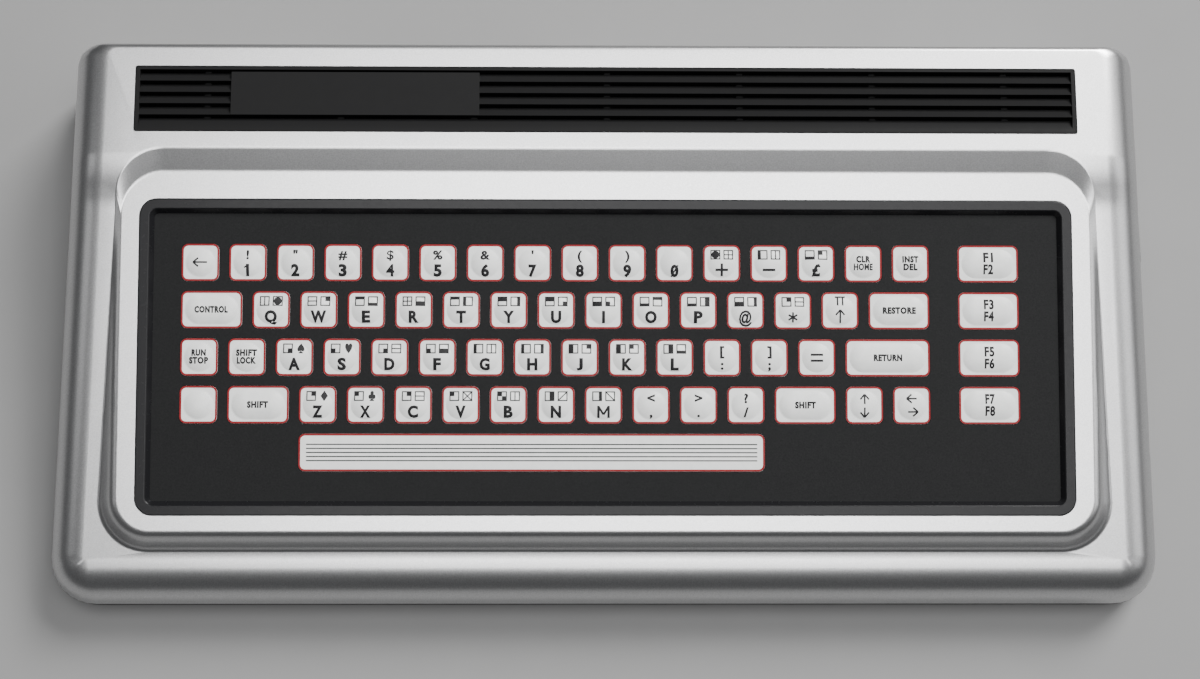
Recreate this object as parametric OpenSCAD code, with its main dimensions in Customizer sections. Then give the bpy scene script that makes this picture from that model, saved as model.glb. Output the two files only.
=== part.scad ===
// Low wedge-shaped home computer with a flat membrane keyboard.
// Origin: centre of the footprint, on the surface that the rubber feet stand on.
// +X to the user's right, +Y to the rear, +Z up. Millimetres and degrees.

/* [Case] */
// Silver band from the case's side to the foot of the step around the keyboard
side_band = 16.6; // [16:0.1:20]
// Silver band from the case's front to the foot of the step
front_band = 15.3; // [15:0.1:18]
// Thickness of the shells' walls
wall_t = 2.5; // [2:0.25:3]
// Thickness of the top shell's upper face
top_t = 3; // [2.5:0.25:3.5]
// Height of the line where the two shells meet
parting_z = 12; // [11.5:0.25:12.5]
// Underside of the bottom shell's floor
base_z = 2.5; // [2:0.25:3]
// Thickness of the bottom shell's floor
floor_t = 2.5; // [2:0.25:3]
// Radius of the front corners in plan
front_corner_r = 15; // [12:1:18]
// Radius of the rear corners in plan
rear_corner_r = 5; // [4:0.5:7]
// Radius of the round-over along the sides and the front
shoulder_r = 12.5; // [11:0.5:13]
// Lean of the side and front walls from upright
side_draft = 15; // [12:1:17]
// Radius of the rear top edge
rear_edge_r = 2; // [1.5:0.25:3]
// Lean of the rear wall from upright
rear_draft = 2; // [1:0.5:3]
// Radius of the bottom shell's lower edges
base_edge_r = 4; // [3:0.5:5]

/* [Top surface] */
// Rise of the scoop from the keyboard frame to the rear plateau
scoop_rise = 3.45; // [3:0.05:4]
// Fall of the plateau towards the front
plateau_slope = 2; // [0:0.5:2.5]
// Rise of the front step from the rim to the keyboard frame
step_rise = 8; // [7.5:0.1:8.5]
// Slope of the rim along the sides
rim_slope = 10.5; // [10:0.25:11]
// Length over which the rim climbs to the plateau
rim_blend = 20; // [16:1:24]
// Run of the scoop from the keyboard frame back to its top edge
scoop_run = 8.7; // [8:0.1:9.5]
// Radius of the scoop's rear corners in plan
scoop_r = 15.7; // [13:0.5:18]
// Run of the wall beside the keyboard frame, at the scoop's top edge
scoop_side_run = 1.3; // [1:0.1:1.6]
// Run of the front step from the keyboard frame to its foot
step_run = 6.25; // [6:0.05:6.8]
// Run of the step beside the keyboard frame, at the front
step_side_run = 8.6; // [8.2:0.1:9]
// Radius of the step's front corners in plan
step_r = 15.5; // [13:0.5:18]

/* [Keyboard panel] */
// Slope of the keyboard
kb_slope = 7; // [6.5:0.25:7.5]
// Height of the silver frame at the keyboard's reference line
kb_z = 40.5; // [40:0.1:41]
// Width of the flat silver frame beside the bezel
frame_side_w = 5.4; // [5:0.1:6]
// Width of the flat silver frame in front of the bezel
frame_front_w = 4.45; // [4.2:0.05:5]
// Width of the flat silver frame behind the bezel
frame_rear_w = 7.55; // [7:0.05:8]
// Bare panel left of the keys
panel_left = 8.75; // [8:0.05:10]
// Bare panel right of the keys
panel_right = 12.4; // [10:0.1:13]
// Bare panel behind the keys
panel_rear = 9.65; // [9:0.05:10]
// Bare panel in front of the keys
panel_front = 9.3; // [8.5:0.05:10]
// Distance from the reference line forward to the bezel's centre
bezel_shift = 5.5; // [5.2:0.1:5.8]
// Radius of the bezel's outer corners
bezel_r = 5.4; // [4.5:0.1:6.5]
// Width of the bezel's flat band
bezel_band = 3.1; // [2.8:0.1:3.3]
// Width of the bezel's sloping inner lip
bezel_lip = 1.4; // [1:0.1:1.6]
// Height of the bezel above the silver frame
bezel_proud = 0.3; // [0.2:0.1:0.6]
// Thickness of the bezel's skirt around the key layers
skirt_t = 1.8; // [1.5:0.1:2]
// Depth of the printed panel below the silver frame
panel_drop = 1.5; // [1.3:0.1:1.6]
// Thickness of the printed panel
panel_t = 1; // [0.8:0.1:1.1]
// Thickness of the spacer under the printed panel
spacer_t = 2.2; // [2.1:0.1:2.4]
// Thickness of the contact layer
contact_t = 0.6; // [0.4:0.1:0.8]
// Thickness of the steel plate behind the keyboard
backplate_t = 1.5; // [1.2:0.1:1.6]
// Overlap of the steel plate beyond the case's opening
backplate_lap = 5; // [4.8:0.1:5.1]

/* [Keys] */
// Distance from one key to the next, both ways
key_pitch = 15; // [14.5:0.05:15.5]
// Column number of the function keys, counted from the first column
function_col = 16.65; // [16.6:0.01:16.7]
// Gap between neighbouring key plates
key_gap = 3.25; // [3:0.05:3.5]
// Radius of the key plates' corners
key_r = 2; // [1.6:0.1:2.4]
// Thickness of a key plate
key_t = 1.5; // [1.4:0.1:1.6]
// Height of a key plate above the printed panel
key_proud = 0.1; // [0:0.05:0.15]
// Diameter of the raised dome on a key
dome_d = 9.3; // [8.5:0.1:9.6]
// Height of the raised dome on a key
dome_h = 0.9; // [0.7:0.05:1]
// Gap around a key plate in the printed panel
key_clear = 0.15; // [0.12:0.01:0.2]
// Width of the flange that holds a key under the panel
key_flange = 0.5; // [0.4:0.05:0.55]
// Thickness of that flange
key_flange_t = 0.5; // [0.4:0.05:0.6]
// Travel of a key
key_travel = 0.6; // [0.5:0.05:0.65]
// Diameter of the stem that presses the contact
stem_d = 5; // [4:0.5:6]

/* [Louvre insert] */
// Silver band from the case's side to the louvre insert
louvre_side_gap = 28.7; // [28:0.1:30]
// Silver band from the scoop's top edge to the louvre insert
louvre_front_gap = 4.4; // [4:0.1:5]
// Silver band from the louvre insert to the rear of the case
louvre_rear_gap = 9.1; // [8.8:0.1:10]
// Radius of the insert's corners
louvre_r = 0.8; // [0.6:0.1:1.2]
// Number of slanted fins
fin_count = 5; // [4:1:5]
// Distance between fins
fin_pitch = 3.7; // [3.5:0.05:3.75]
// Height of a fin's slant
fin_rise = 2; // [1.5:0.1:2.2]
// Width of the vent slot between fins
fin_slot = 0.7; // [0.5:0.1:0.9]
// Width of the insert's rim at its left and right ends
louvre_rim = 1.3; // [1.2:0.05:1.6]
// Width of the insert's rim in front of the fins
louvre_rim_front = 1.65; // [1.4:0.05:2]
// Width of the insert's rim behind the fins
louvre_rim_rear = 1.05; // [1:0.05:1.4]
// Width of the plain badge plate
badge_w = 78.8; // [70:1:85]
// Distance from the case's centre line left to the badge plate's centre
badge_x = 80; // [76:1:84]
// Thickness of the insert
louvre_t = 3; // [2.8:0.1:3.2]
// Width of the insert's glued flange under the case
louvre_flange = 2; // [1.5:0.1:2.2]

/* [Main board] */
// Gap from the case's right side to the main board
board_side_gap = 9.5; // [9:0.5:10]
// Gap from the case's rear to the main board
board_rear_gap = 9.5; // [9:0.5:10]
// Distance from the board's rear edge forward to the row of large chips
big_row_step = 78; // [76:1:80]
// Distance from the row of large chips forward to the row of small ones
small_row_step = 32; // [30:1:34]
// Distance from the row of small chips forward to the board's front edge
board_front_step = 20; // [18:1:22]
// Distance from the board's right edge to the sound chip's centre
sound_chip_inset = 51.6; // [50:0.2:54]
// Gap between the large chips
chip_gap = 10; // [9:0.5:11]
// Thickness of the main board
board_t = 1.6; // [1.4:0.1:1.8]
// Height of the board's standoffs
standoff_h = 5; // [4.8:0.1:5.2]
// Radius of the board's standoffs
standoff_r = 3.5; // [3:0.1:4]
// Reach of a large chip's body beyond its end pins
chip_end = 1.87; // [1.7:0.01:2]
// Reach of a small chip's body beyond its end pins
small_chip_end = 1.1; // [0.9:0.05:1.3]
// Width of a wide chip's body
chip_w = 13.7; // [13:0.1:14]
// Thickness of a chip's body
chip_t = 3.8; // [3.4:0.1:4]
// Height of a chip socket
socket_h = 4; // [3.5:0.1:4.2]
// Distance between chip pins
pin_pitch = 2.54; // [2.5:0.01:2.54]

/* [Ports] */
// Width of the cartridge slot
cartridge_w = 66; // [64:0.5:68]
// Height of the cartridge slot
cartridge_h = 14.4; // [14:0.1:15]
// Distance from the cassette port left to the cartridge slot's centre
cartridge_step = 73; // [70:1:76]
// Width of the cassette port's board tongue
tongue_w = 24; // [22:0.5:26]
// Distance from the board's right edge to the aerial jack
jack_inset = 73; // [71:1:76]
// Distance from the aerial jack to the channel switch
channel_step = 37; // [35:0.5:38]
// Distance from the channel switch to the cassette port
tongue_step = 31; // [29:0.5:33]
// Height of the socket centres on the right-hand side
side_port_z = 19.5; // [19:0.1:20]
// Radius of the aerial jack's barrel
jack_r = 4.15; // [4:0.05:4.2]
// Travel of the channel switch
channel_travel = 3; // [2:0.1:3.2]
// Full swing of the power rocker
rocker_swing = 16; // [12:1:18]

/* [Fasteners and feet] */
// Radius of the case screws' shanks
case_screw_r = 1.5; // [1.3:0.05:1.6]
// Radius of the case screws' heads
case_head_r = 2.9; // [2.7:0.1:3]
// Radius of the small screws' shanks
small_screw_r = 1.2; // [1:0.05:1.25]
// Radius of the small screws' heads
small_head_r = 2.1; // [2:0.05:2.2]
// Radius of the rubber feet
foot_r = 7; // [6:0.5:8]
// Height of the rubber feet
foot_h = 3; // [3:0.1:3.3]
// Distance of the feet from the case's sides
foot_side_inset = 37.5; // [36:0.5:45]
// Distance of the feet from the case's front and rear
foot_end_inset = 25.5; // [24:0.5:28]

/* [Hidden] */
SPECIAL_KEYS = ["key_clr_home", "key_inst_del", "key_control", "key_restore", "key_run_stop",
    "key_shift_lock", "key_return", "key_plain", "key_shift_left", "key_shift_right",
    "key_cursor_updown", "key_cursor_leftright", "key_f1_f2", "key_f3_f4", "key_f5_f6",
    "key_f7_f8", "key_space"];
ROW_KEYS = ["keys_row1_left", "keys_row1_right", "keys_row2_left", "keys_row2_right",
    "keys_row3_left", "keys_row3_right", "keys_row4_left", "keys_row4_right"];

// Fineness of true circles; hull children stay coarser
$fn = 64;

// Clearances
fit = 0.1; // between parts that only rest in each other
slide_fit = 0.2; // between flat sliding faces
hole_fit = 0.05; // between a screw or pin and its hole
seam_fit = 0.2; // between the bezel or the louvre insert and the case

// Steps of the case's swept surface
corner_steps = 12;
arc_steps = 8;
side_steps = 22;
shoulder_steps = 7;
inner_steps = 2;
round_steps = 4;

// Levels inside the case
floor_z = base_z + floor_t;
board_z = floor_z + standoff_h;
board_top = board_z + board_t;
lip_h = 1.2;
lip_t = 1.1;

// The keys set the size of the panel, the panel that of its bezel, and the
// bezel that of the silver frame around it
key_w = key_pitch - key_gap;
function_key_units = 1.5;
key_rows = 5;
key_block_w = (function_col + function_key_units / 2 + 0.5) * key_pitch - key_gap;
view_w = panel_left + key_block_w + panel_right;
view_d = panel_rear + key_rows * key_pitch - key_gap + panel_front;
view_r = 1.2;
bezel_w = view_w + 2 * (bezel_band + bezel_lip);
bezel_d = view_d + 2 * (bezel_band + bezel_lip);
opening_w = bezel_w + 2 * seam_fit;
opening_d = bezel_d + 2 * seam_fit;
opening_r = bezel_r + seam_fit;
first_col = view_w / 2 - panel_left - key_w / 2;
first_row = view_d / 2 - panel_rear - key_w / 2 - bezel_shift;
frame_half_w = opening_w / 2 + frame_side_w;
frame_front = opening_d / 2 + frame_front_w + bezel_shift;
frame_rear = opening_d / 2 + frame_rear_w - bezel_shift;

// The case follows from the frame, the step around it and the rear plateau
step_half_w = frame_half_w + step_side_run;
scoop_half_w = frame_half_w + scoop_side_run;
side_x = step_half_w + side_band;
body_w = 2 * side_x;
grille_d = fin_count * fin_pitch;
louvre_d = grille_d + louvre_rim_front + louvre_rim_rear + 2 * seam_fit;
plateau_d = louvre_front_gap + louvre_d + louvre_rear_gap;
body_d = front_band + step_run + (frame_front + frame_rear) * cos(kb_slope) + scoop_run + plateau_d;
rear_y = body_d / 2;
front_y = -rear_y;
step_y = rear_y - front_band;
scoop_y = rear_y - plateau_d;
louvre_w = body_w - 2 * louvre_side_gap;
louvre_y = scoop_y + louvre_front_gap + louvre_d / 2;
kb_y = step_run + frame_front * cos(kb_slope) - step_y;
rim_front_z = kb_z - frame_front * sin(kb_slope) - step_rise;
plateau_z = kb_z + frame_rear * sin(kb_slope) + scoop_rise;

// Layers of the keyboard, measured down from the silver frame along its normal
panel_w = -panel_drop;
spacer_w = panel_w - panel_t;
contact_w = spacer_w - spacer_t;
plate_w = contact_w - contact_t;
plate_back_w = plate_w - backplate_t;
layer_w = bezel_w - 2 * skirt_t - 2 * fit;
layer_d = bezel_d - 2 * skirt_t - 2 * fit;
kb_boss_r = 2.05;
kb_screw_d = opening_d / 2 + 2.2;
kb_screw_inset = 27.9;
kb_screws = [for (k = [-3:2:3]) k / 3 * (opening_w / 2 - kb_screw_inset)];

// Corners of the silver frame follow those of the scoop and the step around it
frame_front_r = step_r - 5;
frame_rear_r = scoop_r - 2.4;
frame_round = 3.9;

function clamp01(t) = min(1, max(0, t));
function ease(t) = t * t * (3 - 2 * t);
function mix(a, b, t) = a + (b - a) * t;

// A point of the keyboard plane: x across, v up the slope, w along the normal
function kb_point(x, v, w) = [x, kb_y + v * cos(kb_slope) - w * sin(kb_slope),
    kb_z + v * sin(kb_slope) + w * cos(kb_slope)];
function kb_height(y, w) = kb_z + (y - kb_y) * tan(kb_slope) + w / cos(kb_slope);

module on_keyboard() {
    translate([0, kb_y, kb_z]) rotate([kb_slope, 0, 0]) children();
}

// Height of the case's upper face outside the keyboard frame: a sloping rim
// that eases into the rear plateau
blend_y0 = scoop_y - rim_blend;
function rim_line_z(y) = rim_front_z + (y + step_y) * tan(rim_slope);
function plateau_plane_z(y) = plateau_z + (y - scoop_y) * tan(plateau_slope);
function rim_z(y) = mix(rim_line_z(y), plateau_plane_z(y), ease(clamp01((y - blend_y0) / rim_blend)));

// The wall under the shoulder leans in; its reach grows with the local height
shoulder_h = shoulder_r * (1 - sin(side_draft));
function lean(h) = tan(side_draft) * (h - shoulder_h);
flat_y0 = -body_d / 2 + shoulder_r * cos(side_draft) + lean(rim_front_z - parting_z);
function top_h(y) = rim_z(max(y, flat_y0)) - parting_z;
front_h = top_h(flat_y0);
rear_h = top_h(body_d / 2);

// Inset of the rear wall at a given depth below the upper face
rear_edge_h = rear_edge_r * (1 - sin(rear_draft));
function rear_round(s) = rear_edge_r * (cos(rear_draft) - sqrt(1 - s * s));
function rear_in(drop) = tan(rear_draft) * (rear_h - max(drop, rear_edge_h))
    + (drop < rear_edge_h ? rear_round(1 - drop / rear_edge_r) : 0);

// Outlines run along their right half from front to rear, then back along the left.
// All have the same number of points, so that rings of the shell can be joined.
rim_y0 = -step_y + step_r;
rim_y1 = scoop_y - scoop_r;
function both_sides(right) = concat(right,
    [for (i = [len(right) - 1:-1:0]) [-right[i].x, right[i].y]]);
function corner_point(half, y, r, a) = [half(y) - r + r * cos(a), y + r * sin(a)];
function outline(half, y0, y1, rf, rr) = both_sides(concat(
    [for (i = [0:corner_steps]) corner_point(half, y0 + rf, rf, -90 + 90 * i / corner_steps)],
    [for (i = [1:side_steps - 1]) let(y = mix(y0 + rf, y1 - rr, i / side_steps)) [half(y), y]],
    [for (i = [0:corner_steps]) corner_point(half, y1 - rr, rr, 90 * i / corner_steps)]));
// The outer outlines keep step with the rim's corners before they turn their own
function outer_outline(half, y0, y1, rf, rr) = both_sides(concat(
    [for (i = [0:arc_steps]) corner_point(half, y0 + rf, rf, -90 + 90 * i / arc_steps)],
    [for (i = [arc_steps + 1:corner_steps])
        let(y = mix(y0 + rf, rim_y0, (i - arc_steps) / (corner_steps - arc_steps))) [half(y), y]],
    [for (i = [1:side_steps - 1]) let(y = mix(rim_y0, rim_y1, i / side_steps)) [half(y), y]],
    [for (i = [0:arc_steps]) let(y = rim_y1 + scoop_r * sin(90 * i / corner_steps)) [half(y), y]],
    [for (i = [arc_steps + 1:corner_steps]) corner_point(half, y1 - rr, rr,
        90 * (i - arc_steps - 1) / (corner_steps - arc_steps - 1))]));

// A ring of the shell at a depth below the local upper face
function shell_ring(side_in, rear_inset, drop, rf, rr) =
    [for (p = outer_outline(function(y) body_w / 2 - side_in(top_h(y)), -body_d / 2 + side_in(front_h),
        body_d / 2 - rear_inset, rf, rr)) [p.x, p.y, parting_z + top_h(p.y) - drop]];
function flat_ring(inset) = [for (p = outer_outline(function(y) body_w / 2 - inset,
    -body_d / 2 + inset, body_d / 2 - inset, front_corner_r - inset, rear_corner_r - inset))
    [p.x, p.y, parting_z]];
function shoulder_ring(k) = let(
    a = mix(side_draft, 90, k / shoulder_steps),
    reach = shoulder_r * (cos(side_draft) - cos(a)),
    drop = shoulder_r * (1 - sin(a)))
    shell_ring(function(h) lean(h) + reach, rear_in(drop), drop,
        max(front_corner_r - lean(front_h) - reach, 1.5), mix(rear_corner_r, 3, k / shoulder_steps));
function inner_ring(k) = let(
    a = mix(90, side_draft, k / inner_steps),
    reach = shoulder_r * cos(side_draft) - (shoulder_r - wall_t) * cos(a),
    drop = shoulder_r - (shoulder_r - top_t) * sin(a))
    shell_ring(function(h) lean(h) + reach, wall_t + tan(rear_draft) * (rear_h - drop), drop,
        max(front_corner_r - lean(front_h) - reach, 1.2), mix(1.2, rear_corner_r - wall_t, k / inner_steps));

// Inner edge of the rim: top of the scoop at the rear, foot of the step at the front
function rim_half(y) = mix(step_half_w, scoop_half_w, (y + step_y) / (scoop_y + step_y));
rim_outline = outline(function(y) rim_half(y), -step_y, scoop_y, step_r, scoop_r);
function rim_ring(depth) = [for (p = rim_outline) [p.x, p.y, rim_z(p.y) - depth]];
function kb_ring(half_w, v0, v1, rf, rr, w) =
    [for (p = outline(function(v) half_w, v0, v1, rf, rr)) kb_point(p.x, p.y, w)];
function frame_ring(w) = kb_ring(frame_half_w, -frame_front, frame_rear, frame_front_r, frame_rear_r, w);
function opening_ring(w) = kb_ring(opening_w / 2, -bezel_shift - opening_d / 2,
    -bezel_shift + opening_d / 2, opening_r, opening_r, w);

// Between rim and frame the wall starts with a fillet and ends in a round-over
function wall_rise(t, a0, a1) = let(m = 1 / (1 - a0 / 2 - a1 / 2))
    t < a0 ? m * t * t / (2 * a0) : t < 1 - a1 ? m * (t - a0 / 2) : 1 - m * (1 - t) * (1 - t) / (2 * a1);
function wall_stop(k, a0, a1) = k < 2 ? a0 * (k + 1) / 2 : 1 - a1 * (1 - (k - 2) / round_steps);
function wall_point(p, q, k) = let(
    step = q.z - p.z,
    width = norm([q.x - p.x, q.y - p.y]),
    up = clamp01((step + 1) / 2),
    a0 = mix(0.15, 0.08 + 0.2 * clamp01(step / 6), up),
    a1 = mix(0.2, min(0.85, max(0.3, frame_round / width)), up),
    t = wall_stop(k, a0, a1))
    [mix(p.x, q.x, t), mix(p.y, q.y, t), mix(p.z, q.z, wall_rise(t, a0, a1))];

module shell_surface() {
    rim = rim_ring(0);
    frame = frame_ring(0);
    rings = concat(
        [flat_ring(0)],
        [for (k = [0:shoulder_steps]) shoulder_ring(k)],
        [rim],
        [for (k = [0:round_steps + 1]) [for (i = [0:len(rim) - 1]) wall_point(rim[i], frame[i], k)]],
        [frame, opening_ring(0), opening_ring(-top_t), frame_ring(-top_t), rim_ring(top_t)],
        [for (k = [0:inner_steps]) inner_ring(k)],
        [flat_ring(wall_t)]);
    n = len(rim);
    count = len(rings);
    function at(k, i) = (k % count) * n + i % n;
    polyhedron(points = [for (ring = rings) each ring],
        faces = [for (k = [0:count - 1], i = [0:n - 1], half = [0, 1])
            half == 0 ? [at(k, i), at(k + 1, i), at(k + 1, i + 1)]
                : [at(k, i), at(k + 1, i + 1), at(k, i + 1)]],
        convexity = 10);
}

// Outline with true circular corners
module plan(w, d, rf, rr) {
    translate([-w / 2, -d / 2 + rf]) square([w, d - rf - rr]);
    translate([-w / 2 + rf, -d / 2]) square([w - 2 * rf, d / 2]);
    translate([-w / 2 + rr, 0]) square([w - 2 * rr, d / 2]);
    for (s = [-1, 1]) {
        translate([s * (w / 2 - rf), -d / 2 + rf]) circle(rf);
        translate([s * (w / 2 - rr), d / 2 - rr]) circle(rr);
    }
}
module slab(w, d, r, z0, z1) {
    translate([0, 0, z0]) linear_extrude(z1 - z0) plan(w, d, r, r);
}
module block(x0, x1, y0, y1, z0, z1) {
    translate([x0, y0, z0]) cube([x1 - x0, y1 - y0, z1 - z0]);
}
module post(x, y, r, z0, z1) {
    translate([x, y, z0]) cylinder(r = r, h = z1 - z0);
}
module rod_x(x0, x1, y, z, r) {
    translate([x0, y, z]) rotate([0, 90, 0]) cylinder(r = r, h = x1 - x0);
}
module rod_y(x, y0, y1, z, r) {
    translate([x, y0, z]) rotate([-90, 0, 0]) cylinder(r = r, h = y1 - y0);
}
// Rounded rectangle that grows by g on every side from z0 to z1
module flared_slab(w, d, r, g, z0, z1) {
    h = z1 - z0;
    translate([0, 0, z0]) {
        rotate([90, 0, 90]) translate([0, 0, -w / 2 + r]) linear_extrude(w - 2 * r)
            polygon([[-d / 2, 0], [d / 2, 0], [d / 2 + g, h], [-d / 2 - g, h]]);
        rotate([90, 0, 0]) translate([0, 0, -d / 2 + r]) linear_extrude(d - 2 * r)
            polygon([[-w / 2, 0], [w / 2, 0], [w / 2 + g, h], [-w / 2 - g, h]]);
        for (sx = [-1, 1], sy = [-1, 1])
            translate([sx * (w / 2 - r), sy * (d / 2 - r)]) cylinder(r1 = r, r2 = r + g, h = h);
    }
}

// The main board lies close to the right side and the rear. Its parts keep
// their distance from its right and rear edges.
board_x1 = side_x - board_side_gap;
board_y1 = rear_y - board_rear_gap;
big_row_y = board_y1 - big_row_step;
small_row_y = big_row_y - small_row_step;
board_y0 = small_row_y - board_front_step;
function chip_length(pins, end) = (pins / 2 - 1) * pin_pitch + 2 * end;
large_pins = 40;
sound_pins = 28;
chip_l = chip_length(large_pins, chip_end);
sound_chip_l = chip_length(sound_pins, chip_end);
sound_x = board_x1 - sound_chip_inset;
video_x = sound_x - sound_chip_l / 2 - chip_gap - chip_l / 2;
processor_x = video_x - chip_l - chip_gap;
io_x = processor_x - chip_l - chip_gap;
board_x0 = io_x - chip_l / 2 - 7;
jack_x = board_x1 - jack_inset;
channel_x = jack_x - channel_step;
tongue_x = channel_x - tongue_step;
cartridge_x = tongue_x - cartridge_step;

// Case screws: three along the front, three along the rear
boss_r = 3.5;
boss_x = side_x - 20.7;
boss_front_y = -step_y;
boss_rear_y = rear_y - 12.5;
middle_boss = [cartridge_x - cartridge_w / 2 - 22, rear_y - 6];
case_screw_spots = [[-boss_x, boss_front_y], [0, boss_front_y], [boss_x, boss_front_y],
    [-boss_x, boss_rear_y], middle_boss, [boss_x, boss_rear_y]];
middle_boss_gap = 3;
function boss_top(y) = rim_z(y) - (y > boss_rear_y ? top_t + middle_boss_gap : top_t / 2);
screw_seat_z = floor_z + 0.5;
case_screw_bite = 8;

// Openings for the ports, shared by both shells
tongue_gap = 1.5;
cassette_z0 = floor_z;
cassette_z1 = board_top + 5.2;
rear_port_inset = 77;
port_step = 34;
port_ys = [for (k = [0, 1]) board_y1 - rear_port_inset - k * port_step];
port_half_w = 8.5;
port_half_h = 4.2;
port_gap = 0.7;
switch_y = board_y1 - 47;
switch_half_w = 10;
switch_half_h = 6.5;
socket_y = board_y1 - 22;
barrel_r = 4.2;
jack_z = side_port_z + 1.5;
jack_hole_r = 8;
channel_z = board_top + 3;
channel_half_w = 5.5;
cart_z0 = board_top + 2.3;
cart_z1 = cart_z0 + cartridge_h;
module port_openings() {
    wall_in = side_x - 9.5;
    wall_out = side_x + 1;
    rear_in = rear_y - 8;
    rear_out = rear_y + 1;
    for (y = port_ys)
        block(wall_in, wall_out, y - port_half_w - port_gap, y + port_half_w + port_gap,
            side_port_z - port_half_h - port_gap, side_port_z + port_half_h + port_gap);
    block(wall_in, wall_out, switch_y - switch_half_w - seam_fit, switch_y + switch_half_w + seam_fit,
        side_port_z - switch_half_h - seam_fit, side_port_z + switch_half_h + seam_fit);
    rod_x(wall_in, wall_out, socket_y, side_port_z, barrel_r + 0.6);
    rod_y(jack_x, rear_in, rear_out, jack_z, jack_hole_r);
    block(channel_x - channel_half_w, channel_x + channel_half_w, rear_in, rear_out,
        channel_z - 1.5, channel_z + 2.4);
    block(cartridge_x - cartridge_w / 2 - 0.5, cartridge_x + cartridge_w / 2 + 0.5, rear_in, rear_out,
        cart_z0 - 0.5, cart_z1 + 0.5);
    block(tongue_x - tongue_w / 2 - tongue_gap, tongue_x + tongue_w / 2 + tongue_gap, rear_in, rear_out,
        cassette_z0, cassette_z1);
}

module top_case() color("silver") {
    difference() {
        union() {
            shell_surface();
            for (p = case_screw_spots)
                post(p.x, p.y, boss_r, parting_z, boss_top(p.y));
            on_keyboard() for (x = kb_screws, s = [-1, 1])
                post(x, s * kb_screw_d - bezel_shift, kb_boss_r, plate_w, -top_t + 1);
        }
        for (p = case_screw_spots)
            post(p.x, p.y, case_screw_r + hole_fit, parting_z - 1, parting_z + case_screw_bite + 1);
        on_keyboard() for (x = kb_screws, s = [-1, 1])
            post(x, s * kb_screw_d - bezel_shift, small_screw_r + hole_fit, plate_w - 1, -top_t + 0.6);
        translate([0, louvre_y, plateau_plane_z(louvre_y)]) rotate([plateau_slope, 0, 0])
            slab(louvre_w, louvre_d, louvre_r, -top_t - 2, 3);
        port_openings();
    }
}

// Rectangle with rounded lower corners, centred on x, for the bottom shell's sides
module tub_profile(w) {
    h = parting_z - base_z;
    translate([-w / 2, base_edge_r]) square([w, h - base_edge_r]);
    translate([-w / 2 + base_edge_r, 0]) square([w - 2 * base_edge_r, h]);
    for (s = [-1, 1]) translate([s * (w / 2 - base_edge_r), base_edge_r]) circle(base_edge_r);
}
module tub_solid() {
    intersection() {
        translate([0, 0, base_z]) linear_extrude(parting_z - base_z)
            plan(body_w, body_d, front_corner_r, rear_corner_r);
        translate([0, body_d / 2, base_z]) rotate([90, 0, 0]) linear_extrude(body_d) tub_profile(body_w);
        translate([-body_w / 2, 0, base_z]) rotate([90, 0, 90]) linear_extrude(body_w) tub_profile(body_d);
    }
}
module inset_plan(inset, z0, z1) {
    translate([0, 0, z0]) linear_extrude(z1 - z0) plan(body_w - 2 * inset, body_d - 2 * inset,
        front_corner_r - inset, max(rear_corner_r - inset, 0.8));
}

// Standoffs clear of the chips, placed from the board's edges and the processor
post_inset = 7;
board_posts = [[board_x0 + post_inset, board_y0 + post_inset], [processor_x + 35, board_y0 + post_inset],
    [board_x1 - 20, board_y0 + post_inset], [board_x0 + post_inset, board_y1 - 24],
    [board_x1 - 108, board_y1 - 20], [board_x1 - 28, board_y1 - 6]];
lip_inset = wall_t + 1;
foot_sink = foot_h - base_z;
foot_x = side_x - foot_side_inset;
foot_y = rear_y - foot_end_inset;
foot_spots = [for (sx = [-1, 1], sy = [-1, 1]) [sx * foot_x, sy * foot_y]];
vent_len = 26;
vent_w = 2;
vent_pitch = 5;
vent_count = 9;
vent_x = 45;
vent_y = board_y1 - 68;
module bottom_case() color([0.16, 0.15, 0.15]) {
    difference() {
        union() {
            difference() {
                union() {
                    tub_solid();
                    inset_plan(lip_inset, parting_z - 1.5, parting_z + lip_h);
                }
                inset_plan(wall_t, floor_z, parting_z - 1.5);
                inset_plan(lip_inset + lip_t, floor_z, parting_z + lip_h + 1);
            }
            for (p = case_screw_spots) post(p.x, p.y, boss_r + 1, base_z + 1, parting_z);
            for (p = board_posts) post(p.x, p.y, standoff_r, base_z + 1, board_z);
        }
        for (p = case_screw_spots) {
            post(p.x, p.y, case_screw_r + 0.3, base_z - 1, parting_z + lip_h + 1);
            post(p.x, p.y, case_head_r + 0.3, base_z - 1, screw_seat_z);
            post(p.x, p.y, boss_r + 0.5, parting_z, parting_z + lip_h + 1);
        }
        for (p = board_posts) post(p.x, p.y, small_screw_r + hole_fit, floor_z, board_z + 1);
        for (spot = foot_spots) post(spot.x, spot.y, foot_r + fit, base_z - 1, base_z + foot_sink);
        for (i = [0:vent_count - 1], s = [-1, 1])
            block(s * vent_x - vent_len / 2, s * vent_x + vent_len / 2, vent_y + i * vent_pitch,
                vent_y + i * vent_pitch + vent_w, base_z - 1, floor_z + 1);
        block(cartridge_x - cartridge_w / 2 - 3.5, cartridge_x + cartridge_w / 2 + 3.5,
            rear_y - wall_t - 3, rear_y - wall_t, board_z, parting_z + lip_h + 1);
        port_openings();
    }
}

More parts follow.
